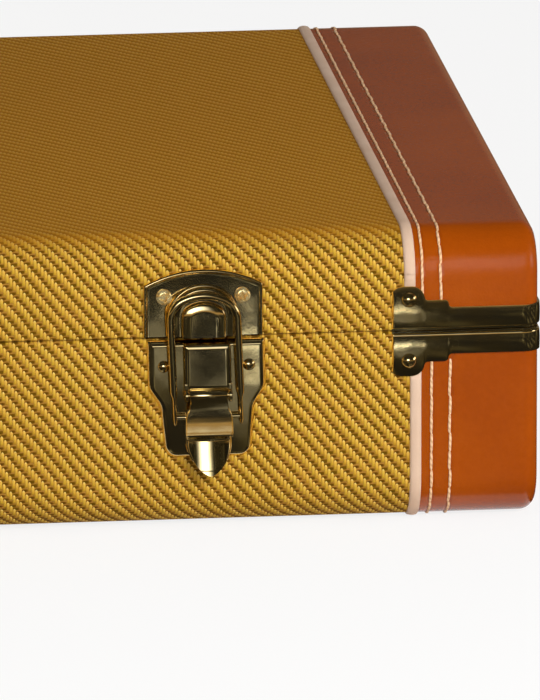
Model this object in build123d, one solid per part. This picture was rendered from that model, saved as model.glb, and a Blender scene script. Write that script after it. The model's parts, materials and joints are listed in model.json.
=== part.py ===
"""A rectangular hard case for an electric guitar: plywood boards under a woven cover, leather ends with
piping, stamped end strips, four draw latches with wire bails, three hinges, a carrying handle and a
plush interior.

Millimetres. +X runs along the case to its right end, -Y is the front with latches and handle, +Z is up.
The origin is the middle of the bounding box at the surface that the case lies on.
"""

from build123d import *
from math import asin, cos, degrees, hypot, radians, sin
import os

# Overall shell, measured over its covering
case_length = 1070.0
case_depth = 362.0
case_height = 117.0
parting_height = 78.0
seam_gap = 0.6
edge_radius = 18.5
end_edge_radius = 6.0

# Boards and covering
cover_thickness = 1.6
wall_thickness = 9.0
panel_thickness = 5.0
rim_binding_thickness = 1.0
wrap_under = 8.0
binding_inner_inset = 0.6

# Leather ends and their piping
lid_end_width = 53.0
base_end_width = 49.0
piping_width = 4.1
piping_proud = 1.3

# Stamped strips along the seam of each leather end
strip_thickness = 1.0
strip_height = 8.1
strip_step_height = 10.8
strip_tab_height = 16.6
strip_tab_width = 12.2
strip_step_width = 9.8
strip_reach = 57.8
strip_tab_corner = 5.2
strip_step_corner = 1.4
strip_rivet_height = 11.6
strip_rivet_inset = 5.0

# Fasteners
large_head_radius = 3.1
large_head_height = 1.9
small_head_radius = 2.5
small_head_height = 1.6
shank_radius = 1.3
shank_clearance = 0.05
screw_head_radius = 3.1
screw_head_height = 1.3
screw_slot_length = 3.4
screw_slot_width = 0.7
screw_slot_depth = 0.7

# Draw latch, seen from the front: heights are from the seam, standoffs from the cover
latch_from_end = 133.0
inner_latch_offset = 165.0
plate_face = 1.6
plate_edge_round = 0.9
plate_seam_clearance = 0.35
catch_width = 47.2
catch_side_height = 21.3
catch_crown = 6.0
catch_corner = 2.2
catch_screw_spread = 31.0
catch_screw_height = 16.6
plateau_half_width = 14.0
plateau_height = 21.6
plateau_corner = 13.0
plateau_crown = 16.0
plateau_standoff = 3.0
keeper_half_width = 8.9
keeper_height = 14.7
keeper_corner = 5.5
keeper_crown = 12.0
keeper_standoff = 4.6
keeper_round = 1.1
base_plate_half_width = 23.0
base_plate_shoulder = 19.2
base_plate_shoulder_round = 7.0
base_plate_waist_half_width = 18.4
base_plate_waist = 26.0
base_plate_waist_round = 9.0
base_plate_foot_half_width = 16.4
base_plate_foot = 48.0
base_plate_corner = 4.5
latch_rivet_spread = 33.6
latch_rivet_drop = 9.6
bridge_half_width = 9.35
bridge_top_drop = 1.0
bridge_foot_drop = 18.8
bridge_standoff = 5.3
bridge_round = 1.0
lever_axis_drop = 22.2
lever_axis_standoff = 4.6
lug_radius = 2.7
lug_thickness = 1.5
lever_pin_radius = 1.2
running_clearance = 0.06
side_clearance = 0.3

# Lever: distances down from its own axis
knuckle_radius = 2.5
lever_sheet = 1.2
lever_neck_half_width = 7.5
lever_face_start = 4.4
lever_bell_half_width = 9.9
lever_bell_from = 9.0
lever_crease = 16.6
lever_tip = 31.6
lever_neck_standoff = 6.6
lever_bell_standoff = 8.4
lever_tongue_standoff = 7.4
lever_tip_standoff = 11.6
tongue_half_width = 8.6
flange_top = 5.4
flange_foot = 19.6
flange_thickness = 1.3
flange_inner_standoff = 2.0
flange_corner = 1.6

# Bail: a wire loop whose ends turn in the lever's flanges
wire_radius = 1.5
bail_half_width = 13.3
bail_peak_height = 18.0
bail_corner_radius = 9.0
bail_crown_radius = 18.5
bail_axis_drop = 31.0
bail_axis_standoff = 4.0
bail_peak_standoff = 6.4
bail_elbow_radius = 2.2

# Handle
handle_span = 124.0
handle_axis_height = 52.0
handle_standoff = 11.0
handle_drop = 31.0
grip_half_height = 9.6
grip_half_thickness = 8.4
grip_bend_radius = 15.0
eye_radius = 4.6
eye_half_length = 4.4
handle_pin_radius = 2.5
handle_pin_head_radius = 3.6
handle_pin_head = 1.2
ferrule_radius = 9.2
ferrule_height = 6.5
ferrule_gap = 0.6
mount_plate_width = 46.0
mount_plate_height = 22.0
mount_plate_thickness = 1.6
mount_rivet_spread = 34.0
mount_lug_thickness = 2.2

# Hinges
hinge_spacing = 380.0
hinge_count = 3
leaf_width = 50.0
leaf_height = 20.0
leaf_thickness = 1.5
hinge_knuckle_radius = 2.7
hinge_pin_radius = 1.4
hinge_axis_standoff = 2.9
middle_knuckle = 20.0
hinge_rivet_spread = 32.0
hinge_rivet_height = 15.0
leaf_corner = 4.0

# Glides on the spine, which the case stands on when it is carried upright
glide_radius = 9.0
glide_tip_radius = 7.0
glide_height = 8.0
glide_x = 455.0
base_glide_height = 28.0
lid_glide_height = 88.8

# Interior
tongue_thickness = 1.5
tongue_rise = 5.0
tongue_depth = 10.0
tongue_clearance = 0.4
lid_liner_clearance = 1.5
liner_thickness = 5.0
liner_top_drop = 2.0
floor_pad_thickness = 8.0
pad_clearance = 0.5
surround_height = 48.0
surround_end_x = -24.0
pocket_end_margin = 17.0
neck_channel_half_width = 40.0
pocket_stations = [
    (0.075, 108.0),
    (0.27, 155.0),
    (0.54, 118.0),
    (0.76, 143.0),
    (0.93, 92.0),
    (1.0, neck_channel_half_width),
]
neck_rest_length = 60.0
neck_rest_height = 30.0
neck_rest_start = 120.0
box_length = 300.0
box_wall = 6.0
box_height = 48.0
box_lid_thickness = 5.0
box_lid_gap = 0.3
box_lip_depth = 6.0
box_lip_clearance = 1.0
rail_height = 48.0
pull_tab_width = 22.0
pull_tab_length = 26.0
pull_tab_thickness = 1.6
pull_tab_inset = 8.0
lid_pad_thickness = 13.0

# Where things follow from the sizes above
front_reach = handle_standoff + grip_half_thickness
back_reach = glide_height
grip_top_drop = eye_radius + ferrule_gap + ferrule_height
shell_y = (front_reach - back_reach) / 2
front_y = shell_y - case_depth / 2
back_y = shell_y + case_depth / 2
half_length = case_length / 2
base_rim_z = parting_height - seam_gap / 2
lid_rim_z = parting_height + seam_gap / 2
inner_half_x = half_length - cover_thickness - wall_thickness
inner_front_y = front_y + cover_thickness + wall_thickness
inner_back_y = back_y - cover_thickness - wall_thickness
floor_z = cover_thickness + panel_thickness
ceiling_z = case_height - cover_thickness - panel_thickness
latch_x = [
    -(half_length - latch_from_end),
    -inner_latch_offset,
    inner_latch_offset,
    half_length - latch_from_end,
]
big = 2 * case_length

made = {}


def keep(name, *shapes):
    """Stores the solids of one node."""
    made[name] = Compound([solid for shape in shapes for solid in shape.solids()])


def slab(x, y, z):
    """A box between the limits given on each axis."""
    size = [b - a for a, b in (x, y, z)]
    middle = [(a + b) / 2 for a, b in (x, y, z)]
    return Pos(*middle) * Box(*size)


def rod_x(radius, x, y, z):
    """A cylinder along X between the two limits in x, about the axis at y, z."""
    return Pos((x[0] + x[1]) / 2, y, z) * Rot(0, 90, 0) * Cylinder(radius, x[1] - x[0])


def rod_y(radius, x, y, z):
    """A cylinder along Y between the two limits in y, about the axis at x, z."""
    return Pos(x, (y[0] + y[1]) / 2, z) * Rot(90, 0, 0) * Cylinder(radius, y[1] - y[0])


def shell_block(grow):
    """The closed case as one block, its long edges rounded more than those of its ends, grown outwards."""
    block = Pos(0, shell_y, case_height / 2) * Box(
        case_length + 2 * grow, case_depth + 2 * grow, case_height + 2 * grow
    )
    block = fillet(block.edges().filter_by(Axis.X), edge_radius + grow)
    ends = block.faces().filter_by(Axis.X)
    return fillet(ends.edges(), end_edge_radius + grow)


def front_plate(outline, near, far):
    """Extrudes an outline drawn in (x, z) between two standoffs from the front face of the cover."""
    face = Plane(origin=(0, front_y - near, 0), x_dir=(1, 0, 0), z_dir=(0, -1, 0)) * outline
    return extrude(face, far - near)


def basket_arch(half_width, foot, peak, corner, crown):
    """An outline with straight sides and a three-arc top: two corners of one radius, a crown of another."""
    reach = crown - corner
    side = half_width - corner
    spring = peak - crown + (reach**2 - side**2) ** 0.5
    lean = asin(side / reach)
    turn_x = side + corner * sin(lean)
    turn_z = spring + corner * cos(lean)
    half_lean = (radians(90) + lean) / 2
    mid_x = side + corner * sin(half_lean)
    mid_z = spring + corner * cos(half_lean)
    lines = [
        Line((half_width, foot), (half_width, spring)),
        ThreePointArc((half_width, spring), (mid_x, mid_z), (turn_x, turn_z)),
        ThreePointArc((turn_x, turn_z), (0, peak), (-turn_x, turn_z)),
        ThreePointArc((-turn_x, turn_z), (-mid_x, mid_z), (-half_width, spring)),
        Line((-half_width, spring), (-half_width, foot)),
    ]
    return lines


# Shell layers: the boards' outer surface, the cover's, and the pipings'
board_block = shell_block(-cover_thickness)
cover_block = shell_block(0)
cover_layer = cover_block - board_block
base_zone = slab((-big, big), (-big, big), (-big, base_rim_z))
lid_zone = slab((-big, big), (-big, big), (lid_rim_z, big))


def boards():
    """Plywood: four walls and a panel in each half, jointed inside the front and back walls."""
    limits = {
        "base": (0, base_rim_z - rim_binding_thickness, 0, floor_z),
        "lid": (lid_rim_z + rim_binding_thickness, case_height, ceiling_z, case_height),
    }
    for half, (low, high, panel_low, panel_high) in limits.items():
        tall = (low, high)
        front = board_block & slab((-big, big), (-big, inner_front_y), tall)
        back = board_block & slab((-big, big), (inner_back_y, big), tall)
        between = (inner_front_y, inner_back_y)
        left = board_block & slab((-big, -inner_half_x), between, tall)
        right = board_block & slab((inner_half_x, big), between, tall)
        panel = board_block & slab((-inner_half_x, inner_half_x), between, (panel_low, panel_high))
        keep(f"{half}_front_board", front)
        keep(f"{half}_back_board", back)
        keep(f"{half}_end_boards", left, right)
        keep(f"{half}_{'bottom' if half == 'base' else 'top'}_board", panel)


def rim_bindings():
    """The cover turned in over the raw edge of each half."""
    hole = slab(
        (-inner_half_x + binding_inner_inset, inner_half_x - binding_inner_inset),
        (inner_front_y + binding_inner_inset, inner_back_y - binding_inner_inset),
        (0, case_height),
    )
    for half, low, high in (
        ("base", base_rim_z - rim_binding_thickness, base_rim_z),
        ("lid", lid_rim_z, lid_rim_z + rim_binding_thickness),
    ):
        ring = (board_block & slab((-big, big), (-big, big), (low, high))) - hole
        keep(f"{half}_rim_binding", ring)


def strip_outline(side, up):
    """The stamped strip seen from the front, above the seam or below it, at the left or right end."""
    seam = lid_rim_z if up else base_rim_z
    start = half_length - strip_reach
    step_x = start + strip_tab_width
    thin_x = step_x + strip_step_width
    corners = [
        (start, 0, 0),
        (start, strip_tab_height, strip_tab_corner),
        (step_x, strip_tab_height, strip_tab_corner),
        (step_x, strip_step_height, strip_step_corner),
        (thin_x, strip_step_height, strip_step_corner),
        (thin_x, strip_height, strip_step_corner * 0.9),
        (half_length + 20, strip_height, 0),
        (half_length + 20, 0, 0),
    ]
    sign = 1 if up else -1
    points = [(side * x, seam + sign * rise) for x, rise, _ in corners]
    return make_face(FilletPolyline(*points, radius=[radius for _, _, radius in corners], close=True))


def strip_rivet_places(up):
    """Where the strip's large rivets sit: on the front and back tabs at both ends."""
    seam = lid_rim_z + strip_rivet_height if up else base_rim_z - strip_rivet_height
    start = half_length - strip_reach + strip_rivet_inset
    return [(side * start, face, seam) for side in (-1, 1) for face in (-1, 1)]


def dome_head(place, outward, standoff, radius, height, shank):
    """A dome-headed rivet on the front (outward -1) or back (outward 1), its shank ending at the board."""
    x, z = place
    face = front_y if outward < 0 else back_y
    ball_radius = (radius**2 + height**2) / (2 * height)
    top = face + outward * (standoff + height)
    ball = Pos(x, top - outward * ball_radius, z) * Sphere(ball_radius)
    seat = face + outward * standoff
    head = ball & rod_y(radius + 1, x, sorted((seat, seat + outward * 2 * height)), z)
    end = face - outward * cover_thickness
    stem = rod_y(shank, x, sorted((seat, end)), z)
    return head + stem


def skins():
    """The woven cover, the leather ends and the pipings between them, as layers over the boards."""
    flat_y = case_depth / 2 - edge_radius - wrap_under
    for half, zone, end_width in (("base", base_zone, base_end_width), ("lid", lid_zone, lid_end_width)):
        seam_x = half_length - end_width
        middle = slab((-seam_x + piping_width / 2, seam_x - piping_width / 2), (-big, big), (-big, big))
        cloth = cover_layer & zone & middle
        if half == "base":
            flat = (shell_y - flat_y, shell_y + flat_y)
            under = slab((-big, big), flat, (-1, 2 * cover_thickness))
            keep("base_bottom_cover", cloth & under)
            cloth = cloth - under
        ends, cords = [], []
        for side in (-1, 1):
            x_leather = sorted((side * (seam_x + piping_width / 2), side * big))
            ends.append(cover_layer & zone & slab(x_leather, (-big, big), (-big, big)))
            cords.append(piping(side * seam_x, half, zone))
        keep(f"{half}_tweed_cover", cloth)
        keep(f"{half}_leather_ends", *ends)
        keep(f"{half}_piping", *cords)


def piping(x, half, zone):
    """A corded edge round one half, flattened where the case lies on it, and cut away under the strip."""
    band = slab((x - piping_width / 2, x + piping_width / 2), (-big, big), (-big, big))
    proud = shell_block(piping_proud) - board_block
    cord = proud & band & zone & slab((-big, big), (-big, big), (0, big))
    if half == "lid":
        seam = (lid_rim_z, lid_rim_z + strip_tab_height)
    else:
        seam = (base_rim_z - strip_tab_height, base_rim_z)
    relief = slab((x - piping_width, x + piping_width), (-big, big), seam) - cover_block
    return cord - relief


def strips():
    """Stamped strips wrapped round the ends of both halves, with their rivets."""
    layer = shell_block(strip_thickness) - cover_block
    for half, up in (("base", False), ("lid", True)):
        pieces = []
        for side in (-1, 1):
            before_front = Plane(origin=(0, front_y - 20, 0), x_dir=(1, 0, 0), z_dir=(0, -1, 0))
            face = before_front * strip_outline(side, up)
            prism = extrude(face, -(case_depth + 40))
            pieces.append(layer & prism)
        drill = [
            rod_y(shank_radius + shank_clearance, x, sorted((shell_y, shell_y + face * case_depth)), z)
            for x, face, z in strip_rivet_places(up)
        ]
        pieces = [piece - drill for piece in pieces]
        keep(f"{half}_end_strips", *pieces)


def catch_outline():
    """The lid's latch plate: straight sides, an arched top."""
    half = catch_width / 2
    foot = lid_rim_z + plate_seam_clearance
    shoulder = lid_rim_z + catch_side_height
    crown = shoulder + catch_crown
    lines = [
        Line((-half, foot), (half, foot)),
        Line((half, foot), (half, shoulder)),
        ThreePointArc((half, shoulder), (0, crown), (-half, shoulder)),
        Line((-half, shoulder), (-half, foot)),
    ]
    outline = make_face(lines)
    corners = outline.vertices().sort_by(Axis.Y)[-2:]
    return fillet(corners, catch_corner)


def arch_face(half_width, peak, corner, crown):
    """A filled basket arch standing on the lower edge of the lid's latch plate."""
    foot = lid_rim_z + plate_seam_clearance
    lines = basket_arch(half_width, foot, lid_rim_z + peak, corner, crown)
    return make_face(lines + [Line((-half_width, foot), (half_width, foot))])


def screw(x, z):
    """A pan-head screw with a cross recess, seated on the catch plate."""
    seat = front_y - plate_face
    head = rod_y(screw_head_radius, x, (seat - screw_head_height, seat), z)
    rim = head.edges().filter_by(GeomType.CIRCLE).sort_by(Axis.Y)[0]
    head = fillet(rim, screw_head_height * 0.7)
    top = seat - screw_head_height
    depth = (top - 1, top + screw_slot_depth)
    for wide, tall in ((screw_slot_length, screw_slot_width), (screw_slot_width, screw_slot_length)):
        head -= slab((x - wide / 2, x + wide / 2), depth, (z - tall / 2, z + tall / 2))
    return head + rod_y(shank_radius, x, (seat, front_y + cover_thickness), z)


def catch_plate(x):
    """The plate on the lid: a raised plateau under the bail and the keeper that the bail passes over.
    Its crown is backed down to the cover, which curves away behind it."""
    plate = front_plate(catch_outline(), -edge_radius / 2, plate_face)
    rim = plate.faces().sort_by(Axis.Y)[0].outer_wire().edges()
    plate = fillet(rim, plate_edge_round) - cover_block
    plateau_arch = arch_face(plateau_half_width, plateau_height, plateau_corner, plateau_crown)
    plateau = front_plate(plateau_arch, 0, plateau_standoff)
    edge = plateau.faces().sort_by(Axis.Y)[0].outer_wire().edges()
    plateau = fillet(edge, plate_edge_round)
    keeper_arch = arch_face(keeper_half_width, keeper_height, keeper_corner, keeper_crown)
    keeper = front_plate(keeper_arch, 0, keeper_standoff)
    edge = keeper.faces().sort_by(Axis.Y)[0].outer_wire().edges()
    keeper = fillet(edge, keeper_round)
    plate = plate + plateau + keeper
    z = lid_rim_z + catch_screw_height
    for side in (-1, 1):
        offset = side * catch_screw_spread / 2
        plate -= rod_y(shank_radius + shank_clearance, offset, (front_y - 5, front_y), z)
    return Pos(x, 0, 0) * plate


def base_plate_outline():
    """The shield-shaped plate on the base: straight shoulders, a waist and a narrower foot."""
    right = [
        (base_plate_half_width, plate_seam_clearance, 0),
        (base_plate_half_width, base_plate_shoulder, base_plate_shoulder_round),
        (base_plate_waist_half_width, base_plate_waist, base_plate_waist_round),
        (base_plate_foot_half_width, base_plate_foot, base_plate_corner),
    ]
    corners = right + [(-x, drop, radius) for x, drop, radius in reversed(right)]
    points = [(x, base_rim_z - drop) for x, drop, _ in corners]
    return make_face(FilletPolyline(*points, radius=[radius for _, _, radius in corners], close=True))


def base_plate(x):
    """The plate on the base, with the bridge and the two lugs that carry the lever's pin."""
    plate = front_plate(base_plate_outline(), 0, plate_face)
    rim = plate.faces().sort_by(Axis.Y)[0].outer_wire().edges()
    plate = fillet(rim, plate_edge_round)
    top = base_rim_z - bridge_top_drop
    foot = base_rim_z - bridge_foot_drop
    bridge = slab(
        (-bridge_half_width, bridge_half_width), (front_y - bridge_standoff, front_y), (foot, top)
    )
    long_edges = bridge.faces().sort_by(Axis.Y)[0].edges()
    bridge = fillet(long_edges, bridge_round)
    plate += bridge
    axis_y = front_y - lever_axis_standoff
    axis_z = base_rim_z - lever_axis_drop
    for side in (-1, 1):
        span = sorted((side * bridge_half_width, side * (bridge_half_width - lug_thickness)))
        lug = rod_x(lug_radius, span, axis_y, axis_z)
        web = slab(span, (axis_y, front_y), (axis_z - lug_radius, foot + 1))
        arm = slab(span, (axis_y - lug_radius * 0.25, axis_y), (axis_z, foot + 1))
        plate += lug + web + arm
    plate -= rod_x(lever_pin_radius, (-2 * bridge_half_width, 2 * bridge_half_width), axis_y, axis_z)
    z = base_rim_z - latch_rivet_drop
    for side in (-1, 1):
        offset = side * latch_rivet_spread / 2
        plate -= rod_y(shank_radius + shank_clearance, offset, (front_y - 5, front_y), z)
    return Pos(x, 0, 0) * plate


def lever(x):
    """A sheet lever: knuckle, flared bell with side flanges, and a finger tongue that curls outwards."""
    axis_y = front_y - lever_axis_standoff
    axis_z = base_rim_z - lever_axis_drop
    profile = [
        (lever_neck_standoff, lever_face_start),
        (lever_bell_standoff, lever_crease - 2.2),
        (lever_bell_standoff - 0.3, lever_crease),
        (lever_tongue_standoff - 0.4, lever_crease + 1.6),
        (lever_tongue_standoff, lever_crease + 6.0),
        (lever_tip_standoff, lever_tip),
    ]
    centre = [(-standoff, -down) for standoff, down in profile]
    outer = Spline(*[(y, z) for y, z in centre])
    inner = Spline(*[(y + lever_sheet, z) for y, z in centre])
    ends = [Line(centre[0], (centre[0][0] + lever_sheet, centre[0][1]))]
    ends += [Line(centre[-1], (centre[-1][0] + lever_sheet, centre[-1][1]))]
    side_view = make_face([outer, inner] + ends)
    sheet = extrude(Plane.YZ * side_view, lever_bell_half_width, both=True)
    sheet = Pos(0, front_y, axis_z) * sheet
    sheet = sheet & Pos(0, front_y, axis_z) * lever_front_prism()
    neck_foot = lever_face_start + 0.5
    knuckle = rod_x(knuckle_radius, (-lever_neck_half_width, lever_neck_half_width), axis_y, axis_z)
    neck = slab(
        (-lever_neck_half_width, lever_neck_half_width),
        (front_y - lever_neck_standoff, front_y - lever_neck_standoff + lever_sheet + 0.9),
        (axis_z - neck_foot, axis_z),
    )
    neck = fillet(neck.edges().filter_by(Axis.X).sort_by(Axis.Y)[:2].sort_by(Axis.Z)[-1], 1.8)
    body = sheet + knuckle + neck
    for side in (-1, 1):
        span = sorted((side * lever_bell_half_width, side * (lever_bell_half_width - flange_thickness)))
        flange = slab(
            span,
            (front_y - lever_neck_standoff - 0.4, front_y - flange_inner_standoff),
            (axis_z - flange_foot, axis_z - flange_top),
        )
        flange = fillet(flange.edges().filter_by(Axis.X), flange_corner)
        body += flange
    hole_y = front_y - bail_axis_standoff
    hole_z = base_rim_z - bail_axis_drop
    body -= rod_x(wire_radius + running_clearance, (-20, 20), hole_y, hole_z)
    body -= rod_x(lever_pin_radius + running_clearance, (-20, 20), axis_y, axis_z)
    return Pos(x, 0, 0) * body


def lever_front_prism():
    """The lever's outline seen from the front, as a prism through its thickness, about its own axis."""
    right = [
        (lever_neck_half_width, -lever_face_start),
        (lever_bell_half_width, -lever_bell_from),
        (lever_bell_half_width, -lever_crease),
        (tongue_half_width + 0.6, -lever_crease - 0.8),
        (tongue_half_width, -lever_crease - 5.0),
    ]
    lines = [Line(a, b) for a, b in zip(right, right[1:])]
    lines += [Line((-a[0], a[1]), (-b[0], b[1])) for a, b in zip(right, right[1:])]
    end = right[-1]
    lines += [ThreePointArc(end, (0, -lever_tip), (-end[0], end[1]))]
    lines += [Line(right[0], (-right[0][0], right[0][1]))]
    face = Plane(origin=(0, 20, 0), x_dir=(1, 0, 0), z_dir=(0, -1, 0)) * make_face(lines)
    return extrude(face, 60)


def bail(x):
    """The wire loop: a basket arch on two legs, leaning in towards the lever, its ends turned inwards."""
    lean = bail_peak_standoff - bail_axis_standoff
    rise = bail_peak_height + seam_gap + bail_axis_drop
    length = hypot(lean, rise)
    arch = basket_arch(bail_half_width, bail_elbow_radius, length, bail_corner_radius, bail_crown_radius)
    inset = lever_bell_half_width - flange_thickness
    r = bail_elbow_radius
    mid = r * (1 - cos(radians(45)))
    right = ThreePointArc((bail_half_width - r, 0), (bail_half_width - mid, mid), (bail_half_width, r))
    left = ThreePointArc((-bail_half_width, r), (-bail_half_width + mid, mid), (-bail_half_width + r, 0))
    path = Wire(
        [Line((inset, 0), (bail_half_width - r, 0)), right]
        + arch
        + [left, Line((-bail_half_width + r, 0), (-inset, 0))]
    )
    section = Plane(origin=(inset, 0, 0), z_dir=(1, 0, 0)) * Circle(wire_radius)
    loop = sweep(section, path=path, transition=Transition.RIGHT)
    tilt = degrees(asin(lean / length))
    place = Pos(x, front_y - bail_axis_standoff, base_rim_z - bail_axis_drop)
    return place * Rot(90 + tilt, 0, 0) * loop


def latches():
    """Four latches, each with its own nodes, and their fasteners grouped by body."""
    pins = []
    for number, x in enumerate(latch_x, start=1):
        keep(f"latch_{number}_catch_plate", catch_plate(x))
        keep(f"latch_{number}_base_plate", base_plate(x))
        keep(f"latch_{number}_lever", lever(x))
        keep(f"latch_{number}_bail", bail(x))
        span = (x - bridge_half_width, x + bridge_half_width)
        axis_z = base_rim_z - lever_axis_drop
        pins.append(rod_x(lever_pin_radius, span, front_y - lever_axis_standoff, axis_z))
    keep("latch_pivot_pins", *pins)
    screw_z = lid_rim_z + catch_screw_height
    screw_x = [x + side * catch_screw_spread / 2 for x in latch_x for side in (-1, 1)]
    keep("latch_catch_screws", *[screw(x, screw_z) for x in screw_x])


def hinge_x():
    """The middles of the hinges along the back."""
    middle = (hinge_count - 1) / 2
    return [(index - middle) * hinge_spacing for index in range(hinge_count)]


def hinge_leaf(x, up):
    """One leaf of a surface hinge on the back: the lid's has the middle knuckle, the base's the outer two."""
    sign = 1 if up else -1
    axis_y = back_y + hinge_axis_standoff
    axis_z = parting_height
    low, high = sorted((axis_z + sign * hinge_knuckle_radius * 0.4, axis_z + sign * leaf_height))
    leaf = slab((-leaf_width / 2, leaf_width / 2), (back_y, back_y + leaf_thickness), (low, high))
    far = leaf.edges().filter_by(Axis.Y).sort_by(Axis.Z)
    leaf = fillet(far[-2:] if up else far[:2], leaf_corner)
    half = middle_knuckle / 2
    outer = leaf_width / 2
    spans = [(-half, half)] if up else [(-outer, -half), (half, outer)]
    gaps = [(-outer, -half), (half, outer)] if up else [(-half, half)]
    for a, b in spans:
        a, b = a + side_clearance / 2, b - side_clearance / 2
        web = slab((a, b), (back_y, axis_y), sorted((axis_z, axis_z + sign * hinge_knuckle_radius)))
        leaf += rod_x(hinge_knuckle_radius, (a, b), axis_y, axis_z) + web
    for a, b in gaps:
        leaf -= rod_x(hinge_knuckle_radius + side_clearance, (a - 0.2, b + 0.2), axis_y, axis_z)
    bore = hinge_pin_radius + (running_clearance if up else 0)
    leaf -= rod_x(bore, (-outer - 1, outer + 1), axis_y, axis_z)
    for side in (-1, 1):
        z = axis_z + sign * hinge_rivet_height
        leaf -= rod_y(shank_radius + shank_clearance, side * hinge_rivet_spread / 2, (back_y, back_y + 5), z)
    return Pos(x, 0, 0) * leaf


def hinges():
    """Three hinges: leaves on the lid and the base, and a pin through each."""
    keep("hinge_lid_leaves", *[hinge_leaf(x, True) for x in hinge_x()])
    keep("hinge_base_leaves", *[hinge_leaf(x, False) for x in hinge_x()])
    axis_y = back_y + hinge_axis_standoff
    half = leaf_width / 2
    pins = [rod_x(hinge_pin_radius, (x - half, x + half), axis_y, parting_height) for x in hinge_x()]
    keep("hinge_pins", *pins)


def handle_eyes():
    return [-handle_span / 2, handle_span / 2]


def handle():
    """A leather grip on two metal end fittings that turn on pins between the lugs of riveted mounts."""
    axis_y = front_y - handle_standoff
    axis_z = handle_axis_height
    mounts, fittings, pins = [], [], []
    for x in handle_eyes():
        corner = mount_plate_height * 0.45
        outline = Pos(x, axis_z) * RectangleRounded(mount_plate_width, mount_plate_height, corner)
        mount = front_plate(outline, 0, mount_plate_thickness)
        rim = mount.faces().sort_by(Axis.Y)[0].outer_wire().edges()
        mount = fillet(rim, plate_edge_round)
        near = x - eye_half_length - side_clearance
        far = x + eye_half_length + side_clearance
        for a, b in ((near - mount_lug_thickness, near), (far, far + mount_lug_thickness)):
            arm = slab((a, b), (axis_y, front_y - 0.5), (axis_z - eye_radius, axis_z + eye_radius))
            mount += arm + rod_x(eye_radius, (a, b), axis_y, axis_z)
        mount -= rod_x(handle_pin_radius, (x - 20, x + 20), axis_y, axis_z)
        for side in (-1, 1):
            place = x + side * mount_rivet_spread / 2
            mount -= rod_y(shank_radius + shank_clearance, place, (front_y - 5, front_y), axis_z)
        mounts.append(mount)
        reach = eye_half_length + side_clearance + mount_lug_thickness
        pin = rod_x(handle_pin_radius, (x - reach, x + reach), axis_y, axis_z)
        for side in (-1, 1):
            span = sorted((x + side * reach, x + side * (reach + handle_pin_head)))
            pin += rod_x(handle_pin_head_radius, span, axis_y, axis_z)
        pins.append(pin)
        fittings.append(handle_fitting(x))
    keep("handle_mounts", *mounts)
    keep("handle_pins", *pins)
    keep("handle_end_fittings", *fittings)
    keep("handle_grip", handle_grip())


def handle_fitting(x):
    """An eye on the pin, a short neck and a ferrule over the end of the grip."""
    axis_y = front_y - handle_standoff
    axis_z = handle_axis_height
    eye = rod_x(eye_radius, (x - eye_half_length, x + eye_half_length), axis_y, axis_z)
    top = axis_z - grip_top_drop + ferrule_height
    neck = slab(
        (x - eye_half_length, x + eye_half_length),
        (axis_y - eye_radius * 0.8, axis_y + eye_radius * 0.8),
        (top - 2, axis_z),
    )
    ferrule = Pos(x, axis_y, top - ferrule_height / 2) * Cylinder(ferrule_radius, ferrule_height)
    ferrule = fillet(ferrule.edges().sort_by(Axis.Z)[-1], 1.8)
    fitting = eye + neck + ferrule
    return fitting - rod_x(handle_pin_radius + running_clearance, (x - 20, x + 20), axis_y, axis_z)


def handle_grip():
    """The grip hangs below its pins: down from each ferrule, round a bend and straight across."""
    half = handle_span / 2
    start = handle_axis_height - grip_top_drop
    low = handle_axis_height - handle_drop
    points = [(-half, start), (-half, low), (half, low), (half, start)]
    plane = Plane(origin=(0, front_y - handle_standoff, 0), x_dir=(1, 0, 0), z_dir=(0, -1, 0))
    path = plane * FilletPolyline(*points, radius=grip_bend_radius)
    end = Plane(origin=path @ 0, z_dir=path % 0, x_dir=(0, 1, 0))
    section = end * Ellipse(grip_half_thickness, grip_half_height)
    return sweep(section, path=path)


def glides():
    """Turned metal glides on the spine, two on each half."""
    for half, z in (("base", base_glide_height), ("lid", lid_glide_height)):
        feet = []
        for side in (-1, 1):
            turned = Cone(glide_radius, glide_tip_radius, glide_height)
            turned = fillet(turned.edges().sort_by(Axis.Z)[-1], 2.0)
            feet.append(Pos(side * glide_x, back_y + glide_height / 2, z) * Rot(-90, 0, 0) * turned)
        keep(f"{half}_spine_glides", *feet)


def small_rivet(place, outward, standoff):
    """A small dome rivet on a plate that stands that far proud of the cover."""
    return dome_head(place, outward, standoff, small_head_radius, small_head_height, shank_radius)


def rivets():
    """Dome rivets: large ones on the strips' tabs, small ones on latches, hinges and handle mounts."""
    base, lid = [], []
    for up, group in ((True, lid), (False, base)):
        for x, face, z in strip_rivet_places(up):
            group.append(
                dome_head((x, z), face, strip_thickness, large_head_radius, large_head_height, shank_radius)
            )
        sign = 1 if up else -1
        for x in hinge_x():
            for side in (-1, 1):
                place = (x + side * hinge_rivet_spread / 2, parting_height + sign * hinge_rivet_height)
                group.append(small_rivet(place, 1, leaf_thickness))
    for x in latch_x:
        for side in (-1, 1):
            place = (x + side * latch_rivet_spread / 2, base_rim_z - latch_rivet_drop)
            base.append(small_rivet(place, -1, plate_face))
    for x in handle_eyes():
        for side in (-1, 1):
            place = (x + side * mount_rivet_spread / 2, handle_axis_height)
            base.append(small_rivet(place, -1, mount_plate_thickness))
    keep("base_rivets", *base)
    keep("lid_rivets", *lid)


def ring(outset, thickness, low, high):
    """A rectangular ring inside the walls: outset from the boards' inner faces, with a thickness."""
    outer = slab(
        (-inner_half_x + outset, inner_half_x - outset),
        (inner_front_y + outset, inner_back_y - outset),
        (low, high),
    )
    inner = outset + thickness
    hole = slab(
        (-inner_half_x + inner, inner_half_x - inner),
        (inner_front_y + inner, inner_back_y - inner),
        (low - 1, high + 1),
    )
    return outer - hole


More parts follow.
